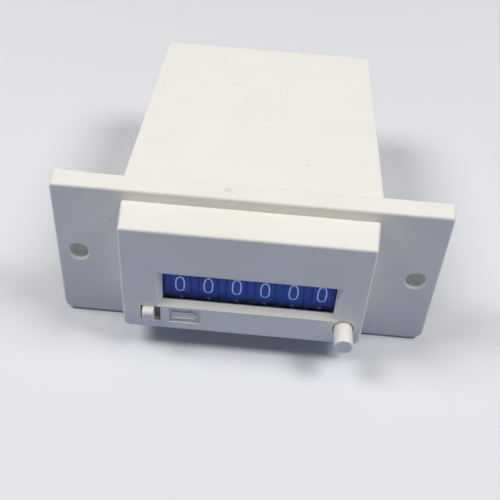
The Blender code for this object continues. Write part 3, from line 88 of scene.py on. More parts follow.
MM = 0.001
WHEEL_COUNT = 6
DIGITS = 10
ORIGIN = (0.0, 0.0, 0.0)
SCUFF_GREY = (0.33, 0.33, 0.34, 1.0)
SCUFF_WHITE = (0.95, 0.95, 0.93, 1.0)
SPECK_BLACK = (0.03, 0.03, 0.04, 1.0)
BLACK = (0.0, 0.0, 0.0, 1.0)
COOL_WHITE = (0.96, 0.975, 1.0, 1.0)
FLANGE_DEPTH = 4.1 * MM
CAMERA_PLACE = (2.564 * MM, -130.949 * MM, 106.527 * MM)
FILL_LAMP_PLACE = (-0.35, -0.60, 0.25)
SIDE_LAMP_PLACE = (0.35, -0.07, 0.50)


def joint_row(name):
    """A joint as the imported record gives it."""
    return next(joint for joint in frame["joints"] if joint["name"] == name)


def joint_place(name):
    """The point that a joint's axis goes through."""
    return Vector(joint_row(name)["pos_m"])


def flange_seat():
    """The depth of the flange's back face, which rests on the panel."""
    row = next(mount for mount in frame["record"]["mounts"] if mount["name"] == "flange_seat_left")
    return row["pos_m"][1]


def drum_radius():
    """The radius of a number wheel's rim."""
    low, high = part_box("number_wheel_1")
    return (high.z - low.z) / 2


def colour_prop(name, description, default):
    return bpy.props.FloatVectorProperty(
        name=name, description=description, subtype="COLOR", size=3, min=0, max=1, default=default
    )


def length_prop(name, description, millimetres):
    return bpy.props.FloatProperty(
        name=name, description=description, subtype="DISTANCE", unit="LENGTH", default=millimetres * MM
    )


def share_prop(name, description, default):
    return bpy.props.FloatProperty(
        name=name, description=description, subtype="FACTOR", min=0, max=1, default=default
    )


def angle_prop(name, description, degrees):
    return bpy.props.FloatProperty(
        name=name, description=description, subtype="ANGLE", unit="ROTATION", default=math.radians(degrees)
    )


def power_prop(name, description, default):
    return bpy.props.FloatProperty(name=name, description=description, unit="POWER", min=0, default=default)


class CounterSizes(bpy.types.PropertyGroup):
    """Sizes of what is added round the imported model."""

    digit_height: length_prop("Digit height", "Height of a printed digit round the drum", 3.35)
    digit_width: length_prop("Digit width", "Width of a printed digit along the drum", 1.53)
    digit_stroke: length_prop("Digit stroke", "Width of a digit's line", 0.24)
    ink_rise: length_prop("Ink rise", "Height of the ink over the drum", 0.012)
    ink_sink: length_prop("Ink sink", "Depth of the ink's underside in the drum", 0.03)
    winding_wire: length_prop("Winding wire", "Diameter of the coil's enamelled wire", 0.22)
    spring_wire: length_prop("Spring wire", "Diameter of the two springs' wire", 0.35)
    packed_corner: length_prop("Packed corner", "Radius of the flange's corners as packed", 2.0)
    upper_corner: length_prop("Upper corner", "Radius of the flange's two upper corners", 0.9)
    end_draft: length_prop("End draft", "How far each end of the flange widens towards its back", 0.75)
    flash_length: length_prop("Flash length", "Length of the mould flash on the flange", 5.9)
    flash_height: length_prop("Flash height", "Height of the mould flash on the flange", 0.24)
    flash_thickness: length_prop("Flash thickness", "Thickness of the mould flash", 0.28)
    gate_radius: length_prop("Gate mark", "Radius of the moulding mark on the button", 0.42)
    drum_width: length_prop("Drum width", "Width of a number wheel's printed rim", 3.2)
    comb_seam: length_prop("Comb seam", "Seam between the comb's plates and the drums", 0.012)
    comb_reach: length_prop("Comb reach", "How far the comb reaches past its packed right end", 0.6)
    arrow_rim: length_prop("Arrow rim", "Width of the raised line round the plaque's arrow", 0.17)
    edge_softness: length_prop("Edge softness", "Radius at which moulded edges catch the light", 0.14)


class CounterFinishes(bpy.types.PropertyGroup):
    """Colours of the counter's own pieces, and of the shade, highlights and reflections painted on them."""

    ivory: colour_prop("Ivory shell", "Moulded panel, case, button and slide", (0.80, 0.775, 0.71))
    # Painted shade on the button where it lies behind the face; also the colour of the nick marks on its end.
    shade: colour_prop("Shade", "The button where it lies behind the face", (0.05, 0.05, 0.06))
    # Painted shade on the slide's bar, seen through its slot.
    slot_shade: colour_prop("Slot shade", "The slide's bar behind its slot", (0.30, 0.30, 0.35))
    # Colour of dust spots and specks, and of the painted shade that darkens inner corners.
    grime_and_shade: colour_prop("Grime and corner shade", "Dust that settles in corners", (0.36, 0.33, 0.28))
    # The drums are dark; their strong blue is a painted reflection of blue surroundings.
    dark_drum_and_blue_reflection: colour_prop("Drums with painted blue reflection", "Number wheels behind the window", (0.003, 0.034, 0.290))
    # Pale printed digits with a painted blue cast of reflected light.
    ink_and_blue_light: colour_prop("Digit ink", "Printed digits", (0.30, 0.46, 0.82))
    acetal: colour_prop("Acetal", "Pinions and reset comb", (0.85, 0.84, 0.80))
    nylon: colour_prop("Nylon", "Coil bobbin and terminal block", (0.030, 0.030, 0.034))
    zinc: colour_prop("Zinc plate", "Frame plates, armature and yoke", (0.56, 0.56, 0.54))
    steel: colour_prop("Ground steel", "Shafts, clips and springs", (0.62, 0.61, 0.60))
    copper: colour_prop("Enamelled copper", "Coil winding", (0.62, 0.25, 0.11))
    tin: colour_prop("Tinned brass", "Terminal blades", (0.66, 0.60, 0.45))
    # Moulded edges lighten partly as wear and partly as a painted highlight.
    wear_and_highlight: share_prop("Edge wear", "How far moulded edges lighten", 0.60)


class CounterStage(bpy.types.PropertyGroup):
    """The floor, the lamps and the camera."""

    floor: colour_prop("Floor", "Colour of the floor", (0.74, 0.75, 0.77))
    bounce: colour_prop("Floor bounce", "Light that the floor throws on the object", (0.22, 0.29, 0.53))
    floor_size: length_prop("Floor size", "Side of the floor", 3000)
    side_power: power_prop("Side lamps", "Power of the lamp overhead on each side", 2.12)
    side_size: length_prop("Side lamp size", "Side of the lamp overhead on each side", 240)
    fill_power: power_prop("Fill lamp", "Power of the lamp in front", 0.085)
    fill_size: length_prop("Fill size", "Side of the lamp in front", 600)
    sky: share_prop("Sky", "Strength of the surroundings' light on the object", 0.135)
    lens: bpy.props.FloatProperty(
        name="Lens", description="Focal length in mm on a 36 mm sensor", min=1, default=53.95
    )
    azimuth: angle_prop("Azimuth", "Camera's turn to the right of straight ahead", 1.22)
    elevation: angle_prop("Elevation", "Camera's height over the horizon", 40.54)
    roll: angle_prop("Roll", "Camera's lean", 4.263)


class Wiring:
    """Adds shader nodes to one tree. An input takes a plain value or another node's output."""

    def __init__(self, tree):
        self.tree = tree

    def feed(self, socket, value):
        if isinstance(value, bpy.types.NodeSocket):
            self.tree.links.new(value, socket)
        else:
            socket.default_value = value

    def fill(self, node, inputs):
        """Gives a node's inputs their values, by name or number."""
        for key, value in inputs.items():
            self.feed(node.inputs[key], value)

    def add(self, kind, inputs=None, **settings):
        node = self.tree.nodes.new("ShaderNode" + kind)
        for name, value in settings.items():
            setattr(node, name, value)
        self.fill(node, inputs or {})
        return node

    def math(self, operation, *values, clamp=False):
        node = self.add("Math", dict(enumerate(values)), operation=operation, use_clamp=clamp)
        return node.outputs[0]

    def vector(self, operation, *values):
        node = self.add("VectorMath", dict(enumerate(values)), operation=operation)
        return node.outputs["Value" if operation in ("DOT_PRODUCT", "LENGTH", "DISTANCE") else "Vector"]

    def stretch(self, coords, scale):
        return self.vector("MULTIPLY", coords, scale)

    def noise(self, coords, scale, detail=2.0, roughness=0.5, distortion=0.0):
        inputs = {"Vector": coords, "Scale": scale, "Detail": detail, "Roughness": roughness}
        return self.add("TexNoise", {**inputs, "Distortion": distortion}).outputs[0]

    def span(self, value, low, high):
        """A share that goes smoothly from 0 to 1 as a value goes from low to high."""
        inputs = {"Value": value, "From Min": low, "From Max": high}
        return self.add("MapRange", inputs, interpolation_type="SMOOTHSTEP").outputs[0]

    def mix(self, share, first, second):
        """A colour that goes from the first to the second with a share."""
        return self.add("Mix", {0: share, 6: first, 7: second}, data_type="RGBA").outputs[2]

    def effect(self, tree, **inputs):
        """A shared effect placed in this tree, with its inputs by name."""
        named = {name.replace("_", " ").capitalize(): value for name, value in inputs.items()}
        return self.add("Group", named, node_tree=tree).outputs

    def background(self):
        """1 on rays that show the background: the camera's own, and those through gloss and glass."""
        rays = self.add("LightPath").outputs
        seen = self.math("ADD", rays["Is Camera Ray"], rays["Is Glossy Ray"])
        return self.math("ADD", seen, rays["Is Transmission Ray"], clamp=True)


def shared(name, inputs, outputs, build):
    """A node group made once. Inputs are names with defaults, outputs (name, kind) rows."""
    if name in bpy.data.node_groups:
        return bpy.data.node_groups[name]
    tree = bpy.data.node_groups.new(name, "ShaderNodeTree")
    for label, default in inputs.items():
        kind = "Float" if isinstance(default, float) else "Vector"
        socket = tree.interface.new_socket(label, in_out="INPUT", socket_type="NodeSocket" + kind)
        socket.default_value = default
    for label, kind in outputs:
        tree.interface.new_socket(label, in_out="OUTPUT", socket_type="NodeSocket" + kind)
    entry = tree.nodes.new("NodeGroupInput")
    leave = tree.nodes.new("NodeGroupOutput")
    build(Wiring(tree), entry.outputs, leave.inputs)
    return tree


def moulded_skin():
    """Fine grain, a soft waviness and a slow drift of tone, as a mould leaves them."""
    def build(wires, given, made):
        coords = given["Coords"]
        grain = wires.noise(coords, given["Grain scale"], 3.0, 0.6)
        waves = wires.noise(coords, given["Wave scale"], 1.0, 0.4)
        drift = wires.noise(coords, 70.0, 3.0, 0.55, 0.6)
        height = wires.math("MULTIPLY_ADD", waves, 2.2, grain)
        wires.feed(made["Height"], height)
        wires.feed(made["Drift"], wires.span(drift, 0.3, 0.7))

    inputs = {"Coords": ORIGIN, "Grain scale": 7000.0, "Wave scale": 700.0}
    return shared("Moulded skin", inputs, [("Height", "Float"), ("Drift", "Float")], build)


def soft_edges():
    """A normal that rounds sharp edges, and a mask that is 1 along them."""
    def build(wires, given, made):
        bevel = wires.add("Bevel", {"Radius": given["Radius"]}, samples=6)
        plain = wires.add("NewGeometry").outputs["Normal"]
        turn = wires.vector("DOT_PRODUCT", bevel.outputs[0], plain)
        wires.feed(made["Normal"], bevel.outputs[0])
        wires.feed(made["Mask"], wires.span(turn, 0.995, 0.86))

    return shared("Soft edges", {"Radius": 0.1 * MM}, [("Normal", "Vector"), ("Mask", "Float")], build)


def corner_dust_and_shade():
    """A mask of dust and painted shade in inner corners, found by occlusion and broken up by noise."""
    def build(wires, given, made):
        shade = wires.add("AmbientOcclusion", {"Distance": given["Reach"]}, samples=6, only_local=True)
        open_air = wires.span(shade.outputs["AO"], 0.35, 0.85)
        patches = wires.noise(given["Coords"], 900.0, 4.0, 0.65)
        closed = wires.math("SUBTRACT", 1.0, open_air)
        wires.feed(made["Mask"], wires.math("MULTIPLY", closed, wires.span(patches, 0.3, 0.75)))

    inputs = {"Coords": ORIGIN, "Reach": 1.2 * MM}
    return shared("Corner dust and shade", inputs, [("Mask", "Float")], build)


def hairlines():
    """A mask of fine rubbed scratches that run along X, thinned out by a patchy noise."""
    def build(wires, given, made):
        long_way = wires.stretch(given["Coords"], (0.035, 1.0, 1.0))
        lines = wires.noise(long_way, given["Scale"], 2.0, 0.5, 0.3)
        off = wires.math("ABSOLUTE", wires.math("SUBTRACT", lines, 0.5))
        thin = wires.math("SUBTRACT", 1.0, wires.math("MULTIPLY", off, 42.0), clamp=True)
        patches = wires.span(wires.noise(given["Coords"], 110.0, 2.0), 0.52, 0.66)
        wires.feed(made["Mask"], wires.math("MULTIPLY", thin, patches))

    inputs = {"Coords": ORIGIN, "Scale": 900.0}
    return shared("Hairline scratches", inputs, [("Mask", "Float")], build)


def specks():
    """A mask of a few tiny spots, each in its own cell."""
    def build(wires, given, made):
        settings = {"Vector": given["Coords"], "Scale": given["Density"]}
        cells = wires.add("TexVoronoi", settings, feature="F1")
        draw = wires.add("SeparateColor", {0: cells.outputs["Color"]}).outputs[0]
        chosen = wires.math("GREATER_THAN", draw, given["Bare share"])
        core = wires.math("MULTIPLY", given["Size"], 0.5)
        size = wires.span(cells.outputs["Distance"], given["Size"], core)
        wires.feed(made["Mask"], wires.math("MULTIPLY", chosen, size))

    inputs = {"Coords": ORIGIN, "Density": 420.0, "Bare share": 0.93, "Size": 0.05}
    return shared("Specks", inputs, [("Mask", "Float")], build)


def line_mark():
    """A mask along one straight scratch between two points, a little wavy and broken."""
    def build(wires, given, made):
        sway = 1.2 * MM
        wobble = wires.add("TexNoise", {"Vector": given["Coords"], "Scale": 260.0, "Detail": 2.0})
        shift = wires.vector("SUBTRACT", wobble.outputs["Color"], (0.5, 0.5, 0.5))
        bent = wires.vector("ADD", given["Coords"], wires.stretch(shift, (sway, sway, sway)))
        run = wires.vector("SUBTRACT", given["End"], given["Start"])
        offset = wires.vector("SUBTRACT", bent, given["Start"])
        reached = wires.vector("DOT_PRODUCT", offset, run)
        whole = wires.vector("DOT_PRODUCT", run, run)
        along = wires.math("DIVIDE", reached, whole, clamp=True)
        nearest = wires.add("VectorMath", {0: run, "Scale": along}, operation="SCALE").outputs[0]
        off = wires.vector("DISTANCE", offset, nearest)
        near = wires.span(off, given["Width"], 0.0)
        breaks = wires.span(wires.noise(given["Coords"], 1400.0, 2.0), 0.35, 0.6)
        wires.feed(made["Mask"], wires.math("MULTIPLY", near, breaks))

    inputs = {"Coords": ORIGIN, "Start": ORIGIN, "End": (10 * MM, 0.0, 0.0), "Width": 0.2 * MM}
    return shared("Line mark", inputs, [("Mask", "Float")], build)


def spot_mark():
    """A mask of one round spot with a soft rim."""
    def build(wires, given, made):
        off = wires.vector("DISTANCE", given["Coords"], given["Centre"])
        core = wires.math("MULTIPLY", given["Radius"], 0.6)
        wires.feed(made["Mask"], wires.span(off, given["Radius"], core))

    inputs = {"Coords": ORIGIN, "Centre": ORIGIN, "Radius": 0.2 * MM}
    return shared("Spot mark", inputs, [("Mask", "Float")], build)


def drawn_metal():
    """Streaks along one direction and a cloudy bloom, as rolling and plating leave them."""
    def build(wires, given, made):
        streaks = wires.noise(wires.stretch(given["Coords"], given["Stretch"]), 5200.0, 3.0, 0.6)
        bloom = wires.noise(given["Coords"], 480.0, 5.0, 0.65, 0.8)
        wires.feed(made["Height"], streaks)
        wires.feed(made["Bloom"], wires.span(bloom, 0.35, 0.65))

    inputs = {"Coords": ORIGIN, "Stretch": (0.04, 1.0, 1.0)}
    return shared("Drawn metal", inputs, [("Height", "Float"), ("Bloom", "Float")], build)


def fresh_material(name):
    """A material with its wiring, its Principled shader and object coordinates."""
    made = bpy.data.materials.new(name)
    made.use_nodes = True
    wires = Wiring(made.node_tree)
    shader = made.node_tree.nodes["Principled BSDF"]
    return made, wires, shader, wires.add("TexCoord").outputs["Object"]


def set_bump(wires, shader, height, distance, strength, normal=None):
    """Raises the surface by a height, over another normal where one is given."""
    inputs = {"Strength": strength, "Distance": distance, "Height": height}
    if normal is not None:
        inputs["Normal"] = normal
    wires.feed(shader.inputs["Normal"], wires.add("Bump", inputs).outputs[0])


def opaque(colour):
    return tuple(colour) + (1.0,)


def scaled(colour, share):
    """The same hue, darker or brighter."""
    return opaque(min(1.0, c * share) for c in colour)


def lighter(colour, share):
    """The colour moved towards white."""
    return opaque(c + (1 - c) * share for c in colour)


def ivory_plastic(name, marks=()):
    """Slightly glossy moulded plastic with edges lightened as wear and as a painted highlight, dust and painted
    shade in its corners, and a few marks.

    A mark is (mask maker, colour, strength).
    """
    finishes = bpy.context.scene.counter_finishes
    sizes = bpy.context.scene.counter_sizes
    base, grime_and_shade = finishes.ivory, opaque(finishes.grime_and_shade)
    made, wires, shader, coords = fresh_material(name)
    skin = wires.effect(moulded_skin(), coords=coords)
    edges = wires.effect(soft_edges(), radius=sizes.edge_softness)
    dust_and_shade = wires.effect(corner_dust_and_shade(), coords=coords)["Mask"]
    rubs = wires.effect(hairlines(), coords=coords)["Mask"]
    dots = wires.effect(specks(), coords=coords)["Mask"]
    colour = wires.mix(skin["Drift"], scaled(base, 0.98), lighter(base, 0.04))
    # Edges lightened: partly wear, partly a painted highlight where edges catch the light.
    colour = wires.mix(wires.math("MULTIPLY", edges["Mask"], finishes.wear_and_highlight), colour, lighter(base, 0.45))
    # Inner corners darkened by occlusion: partly dust, partly painted shade.
    colour = wires.mix(wires.math("MULTIPLY", dust_and_shade, 0.30), colour, grime_and_shade)
    colour = wires.mix(wires.math("MULTIPLY", rubs, 0.10), colour, lighter(base, 0.5))
    colour = wires.mix(wires.math("MULTIPLY", dots, 0.45), colour, grime_and_shade)
    for mask, tint, strength in marks:
        share = mask(wires, coords)
        if strength < 1.0:
            share = wires.math("MULTIPLY", share, strength)
        colour = wires.mix(share, colour, tint)
    gloss = wires.math("MULTIPLY_ADD", skin["Drift"], 0.05, 0.32)
    gloss = wires.math("MULTIPLY_ADD", dust_and_shade, 0.25, gloss)
    gloss = wires.math("MULTIPLY_ADD", rubs, 0.12, gloss, clamp=True)
    wires.fill(shader, {"Base Color": colour, "Roughness": gloss, "IOR": 1.52})
    set_bump(wires, shader, skin["Height"], 0.006 * MM, 0.5, edges["Normal"])
    return made


def line(start, end, width):
    """A mask maker for a scratch between two points."""
    def mask(wires, coords):
        return wires.effect(line_mark(), coords=coords, start=start, end=end, width=width)["Mask"]

    return mask


def spot(centre, radius):
    """A mask maker for one spot."""
    def mask(wires, coords):
        return wires.effect(spot_mark(), coords=coords, centre=centre, radius=radius)["Mask"]

    return mask


def behind(depth, blur=0.05 * MM):
    """A mask maker for what lies further back than a depth."""
    def mask(wires, coords):
        along = wires.add("SeparateXYZ", {0: coords}).outputs["Y"]
        return wires.span(along, depth - blur, depth + blur)

    return mask


def satin_plastic(name, colour, roughness, drift=0.10, specular=0.5):
    """A moulded plastic in one colour, for the wheels, pinions, bobbin and block."""
    sizes = bpy.context.scene.counter_sizes
    made, wires, shader, coords = fresh_material(name)
    skin = wires.effect(moulded_skin(), coords=coords, grain_scale=9000.0)
    edges = wires.effect(soft_edges(), radius=sizes.edge_softness / 2)
    rubs = wires.effect(hairlines(), coords=coords, scale=1500.0)["Mask"]
    shade = wires.mix(skin["Drift"], scaled(colour, 1 - drift), scaled(colour, 1 + drift / 2))
    # Edges a little lighter: a painted highlight.
    shade = wires.mix(wires.math("MULTIPLY", edges["Mask"], 0.25), shade, lighter(colour, 0.06))
    gloss = wires.math("MULTIPLY_ADD", skin["Drift"], 0.08, roughness - 0.04)
    gloss = wires.math("MULTIPLY_ADD", rubs, 0.10, gloss, clamp=True)
    wires.fill(shader, {"Base Color": shade, "Roughness": gloss, "Specular IOR Level": specular})
    set_bump(wires, shader, skin["Height"], 0.004 * MM, 0.5, edges["Normal"])
    return made


def bright_metal(name, colour, roughness, stretch, bloom=0.12):
    """A metal with drawn or rolled streaks and a faint cloudy bloom."""
    made, wires, shader, coords = fresh_material(name)
    metal = wires.effect(drawn_metal(), coords=coords, stretch=stretch)
    edges = wires.effect(soft_edges(), radius=0.06 * MM)
    shade = wires.mix(metal["Bloom"], scaled(colour, 1 - bloom), lighter(colour, bloom))
    # Edges lighter: a painted highlight.
    shade = wires.mix(wires.math("MULTIPLY", edges["Mask"], 0.4), shade, lighter(colour, 0.35))
    gloss = wires.math("MULTIPLY_ADD", metal["Bloom"], 0.10, roughness)
    gloss = wires.math("MULTIPLY_ADD", metal["Height"], 0.06, gloss)
    wires.fill(shader, {"Base Color": shade, "Roughness": gloss, "Metallic": 1.0})
    set_bump(wires, shader, metal["Height"], 0.003 * MM, 0.6, edges["Normal"])
    return made


def clear_pane(name):
    """Clear acrylic with a faint waviness and wiped dust. Lamps shine through it."""
    made, wires, shader, coords = fresh_material(name)
    rubs = wires.effect(hairlines(), coords=coords, scale=1300.0)["Mask"]
    smears = wires.span(wires.noise(coords, 160.0, 3.0, 0.6, 1.2), 0.45, 0.75)
    gloss = wires.math("MULTIPLY_ADD", smears, 0.02, 0.012)
    gloss = wires.math("MULTIPLY_ADD", rubs, 0.05, gloss)
    tint = wires.mix(smears, (0.98, 0.985, 0.99, 1.0), (0.94, 0.95, 0.965, 1.0))
    shadow = wires.add("LightPath").outputs["Is Shadow Ray"]
    alpha = wires.math("MULTIPLY_ADD", shadow, -0.92, 1.0)
    wires.fill(shader, {"Base Color": tint, "Roughness": gloss, "Alpha": alpha})
    wires.fill(shader, {"Transmission Weight": 1.0, "IOR": 1.16})
    set_bump(wires, shader, wires.noise(coords, 500.0, 1.0), 0.002 * MM, 0.3)
    return made


def ink_coat(name, colour):
    """Printed ink, a little uneven where the pad lifted off."""
    made, wires, shader, coords = fresh_material(name)
    print_grain = wires.noise(coords, 5200.0, 3.0, 0.6)
    thin = wires.span(wires.noise(coords, 1500.0, 4.0, 0.7), 0.25, 0.6)
    shade = wires.mix(thin, scaled(colour, 0.78), lighter(colour, 0.06))
    gloss = wires.math("MULTIPLY_ADD", print_grain, 0.15, 0.45)
    wires.fill(shader, {"Base Color": shade, "Roughness": gloss})
    set_bump(wires, shader, print_grain, 0.004 * MM, 0.5)
    return made


def floor_paint(name, colour, bounce):
    """A matt pale floor with a faint paper grain. It throws a cooler light, and fades into the haze."""
    made, wires, shader, coords = fresh_material(name)
    grain = wires.noise(coords, 900.0, 4.0, 0.6)
    seen = wires.background()
    paper = wires.mix(grain, scaled(colour, 0.985), lighter(colour, 0.02))
    shade = wires.mix(seen, opaque(bounce), paper)
    gloss = wires.math("MULTIPLY_ADD", grain, 0.1, 0.6)
    wires.fill(shader, {"Base Color": shade, "Roughness": gloss, "Specular IOR Level": 0.2})
    haze_start, haze_end = 60 * MM, 950 * MM
    far = wires.span(wires.vector("LENGTH", coords), haze_start, haze_end)
    haze = wires.mix(wires.math("MULTIPLY", far, seen), BLACK, scaled(colour, 0.9))
    wires.fill(shader, {"Emission Color": haze, "Emission Strength": 1.0})
    return made


def dress(finish, *names):
    """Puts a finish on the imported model's nodes."""
    for name in names:
        node = frame["nodes"][name]
        if not node.material_slots:
            node.data.materials.append(finish)
        for place in node.material_slots:
            place.material = finish


def packed_copy(name):
    """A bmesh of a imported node, with its split corners joined."""
    mesh = bmesh.new()
    mesh.from_mesh(frame["nodes"][name].data)
    bmesh.ops.remove_doubles(mesh, verts=mesh.verts, dist=0.001 * MM)
    return mesh


def mesh_object(name, mesh, finish):
    """A new object from a bmesh, in one finish."""
    bmesh.ops.recalc_face_normals(mesh, faces=mesh.faces)
    data = bpy.data.meshes.new(name)
    mesh.to_mesh(data)
    mesh.free()
    data.materials.append(finish)
    made = bpy.data.objects.new(name, data)
    bpy.context.scene.collection.objects.link(made)
    return made


def add_piece(name, mesh, finish, body, replaced=(), smooth=True):
    """A new piece from a bmesh, shaded smooth or flat, riding on a body where one is named."""
    made = mesh_object(name, mesh, finish)
    if smooth:
        made.data.shade_smooth()
        made.data.set_sharp_from_angle(angle=math.radians(38))
    else:
        made.data.shade_flat()
    if body:
        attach(made, body)
    if replaced:
        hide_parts(*replaced)
    return made


def skin_rings(mesh, rings, closed=False):
    """Faces between rings of as many vertices each. Open ends are capped."""
    loops = [[mesh.verts.new(point) for point in ring] for ring in rings]
    pairs = list(zip(loops, loops[1:]))
    if closed:
        pairs.append((loops[-1], loops[0]))
    else:
        mesh.faces.new(loops[0])
        mesh.faces.new(loops[-1])
    count = len(loops[0])
    for near, far in pairs:
        for k in range(count):
            after = (k + 1) % count
            mesh.faces.new((near[k], near[after], far[after], far[k]))


def bow(centre, radii, start, end, steps=14):
    """Points along an ellipse's arc, from start to end in degrees."""
    turns = [math.radians(start + (end - start) * k / steps) for k in range(steps + 1)]
    return [(centre[0] + radii[0] * math.cos(t), centre[1] + radii[1] * math.sin(t)) for t in turns]


def oval(radii, power, steps=40):
    """A closed line round the middle, squarer than an ellipse where the power is over 2."""
    points = []
    for k in range(steps + 1):
        turn = math.pi / 2 + 2 * math.pi * k / steps
        u, v = math.cos(turn), math.sin(turn)
        u = math.copysign(abs(u) ** (2 / power), u)
        v = math.copysign(abs(v) ** (2 / power), v)
        points.append((radii[0] * u, radii[1] * v))
    return points


def digit_strokes(digit):
    """The strokes of a digit in a box from -0.5 to 0.5 each way."""
    six = bow((0.30, -0.20), (0.78, 0.69), 102, 180, 8) + bow((0.0, -0.20), (0.48, 0.30), 180, 540, 24)[1:]
    return {
        0: [oval((0.5, 0.5), 2.5)],
        1: [[(-0.24, 0.30), (0.08, 0.5), (0.08, -0.5)]],
        2: [bow((0.0, 0.21), (0.46, 0.29), 160, -35) + [(-0.48, -0.5), (0.48, -0.5)]],
        3: [bow((0.0, 0.25), (0.42, 0.25), 150, -90) + bow((0.0, -0.25), (0.48, 0.25), 90, -150)[1:]],
        4: [[(0.5, -0.22), (-0.5, -0.22), (0.18, 0.5), (0.18, -0.5)]],
        5: [[(0.42, 0.5), (-0.34, 0.5), (-0.42, 0.06)] + bow((0.0, -0.18), (0.47, 0.32), 130, -150, 16)],
        6: [six],
        7: [[(-0.46, 0.5), (0.46, 0.5), (-0.10, -0.5)]],
        8: [bow((0.0, 0.26), (0.38, 0.24), -90, 270, 22), bow((0.0, -0.24), (0.48, 0.26), 90, 450, 26)],
        9: [[(-x, -y) for x, y in six]],
    }[digit]


def resampled(points, step):
    """The same line with points no further apart than step."""
    line_points = [points[0]]
    for start, end in zip(points, points[1:]):
        count = max(1, math.ceil(math.dist(start, end) / step))
        for k in range(1, count + 1):
            share = k / count
            line_points.append(tuple(a + (b - a) * share for a, b in zip(start, end)))
    return line_points


def ribbon_sides(points, half, closed):
    """The two sides of a ribbon along a line, mitred at its bends."""
    sides = []
    count = len(points)
    for k, point in enumerate(points):
        before = points[k - 1] if k or closed else point
        after = points[(k + 1) % count] if k < count - 1 or closed else point
        into = Vector(point) - Vector(before)
        out = Vector(after) - Vector(point)
        if into.length == 0:
            into = out
        if out.length == 0:
            out = into
        into.normalize()
        out.normalize()
        middle = (into + out).normalized()
        across = Vector((-middle.y, middle.x))
        reach = half / max(0.6, Vector((-into.y, into.x)).dot(across))
        sides.append((Vector(point) + across * reach, Vector(point) - across * reach))
    return sides


def add_stroke(mesh, points, half, wrap, outer, inner):
    """One stroke as a thin solid ribbon on the drum. wrap(u, v, radius) gives its 3D place."""
    closed = math.dist(points[0], points[-1]) < half / 10
    if closed:
        points = points[:-1]
    rings = [
        [wrap(*left, outer), wrap(*right, outer), wrap(*right, inner), wrap(*left, inner)]
        for left, right in ribbon_sides(points, half, closed)
    ]
    skin_rings(mesh, rings, closed)


def hoop(centre, radius, along, sides):
    """A circle's points round a line along Y, at one place along it."""
    turns = [2 * math.pi * k / sides for k in range(sides)]
    return [(centre.x + radius * math.cos(t), along, centre.z + radius * math.sin(t)) for t in turns]


def coil_points(start, end, radius, turns, steps=28):
    """The centre line of a spring whose last turn at each end lies nearly flat."""
    count = int(turns * steps)
    flat, rise = 0.75, 0.02
    points = []
    for k in range(count + 1):
        lap = turns * k / count
        if lap < flat:
            travel = rise * lap / flat
        elif lap > turns - flat:
            travel = 1 - rise * (turns - lap) / flat
        else:
            travel = rise + (1 - 2 * rise) * (lap - flat) / (turns - 2 * flat)
        turn = 2 * math.pi * k / steps
        ring = Vector((math.cos(turn), 0.0, math.sin(turn))) * radius
        points.append(start.lerp(end, travel) + ring)
    return points


def add_tube(mesh, points, radius, sides=10):
    """A round wire along a line of points."""
    rings = []
    for k, point in enumerate(points):
        before = points[max(0, k - 1)]
        after = points[min(len(points) - 1, k + 1)]
        along = (after - before).normalized()
        side = along.cross(Vector((0, 1, 0))).normalized()
        up = side.cross(along).normalized()
        ring = []
        for j in range(sides):
            turn = 2 * math.pi * j / sides
            ring.append(point + side * (radius * math.cos(turn)) + up * (radius * math.sin(turn)))
        rings.append(ring)
    skin_rings(mesh, rings)


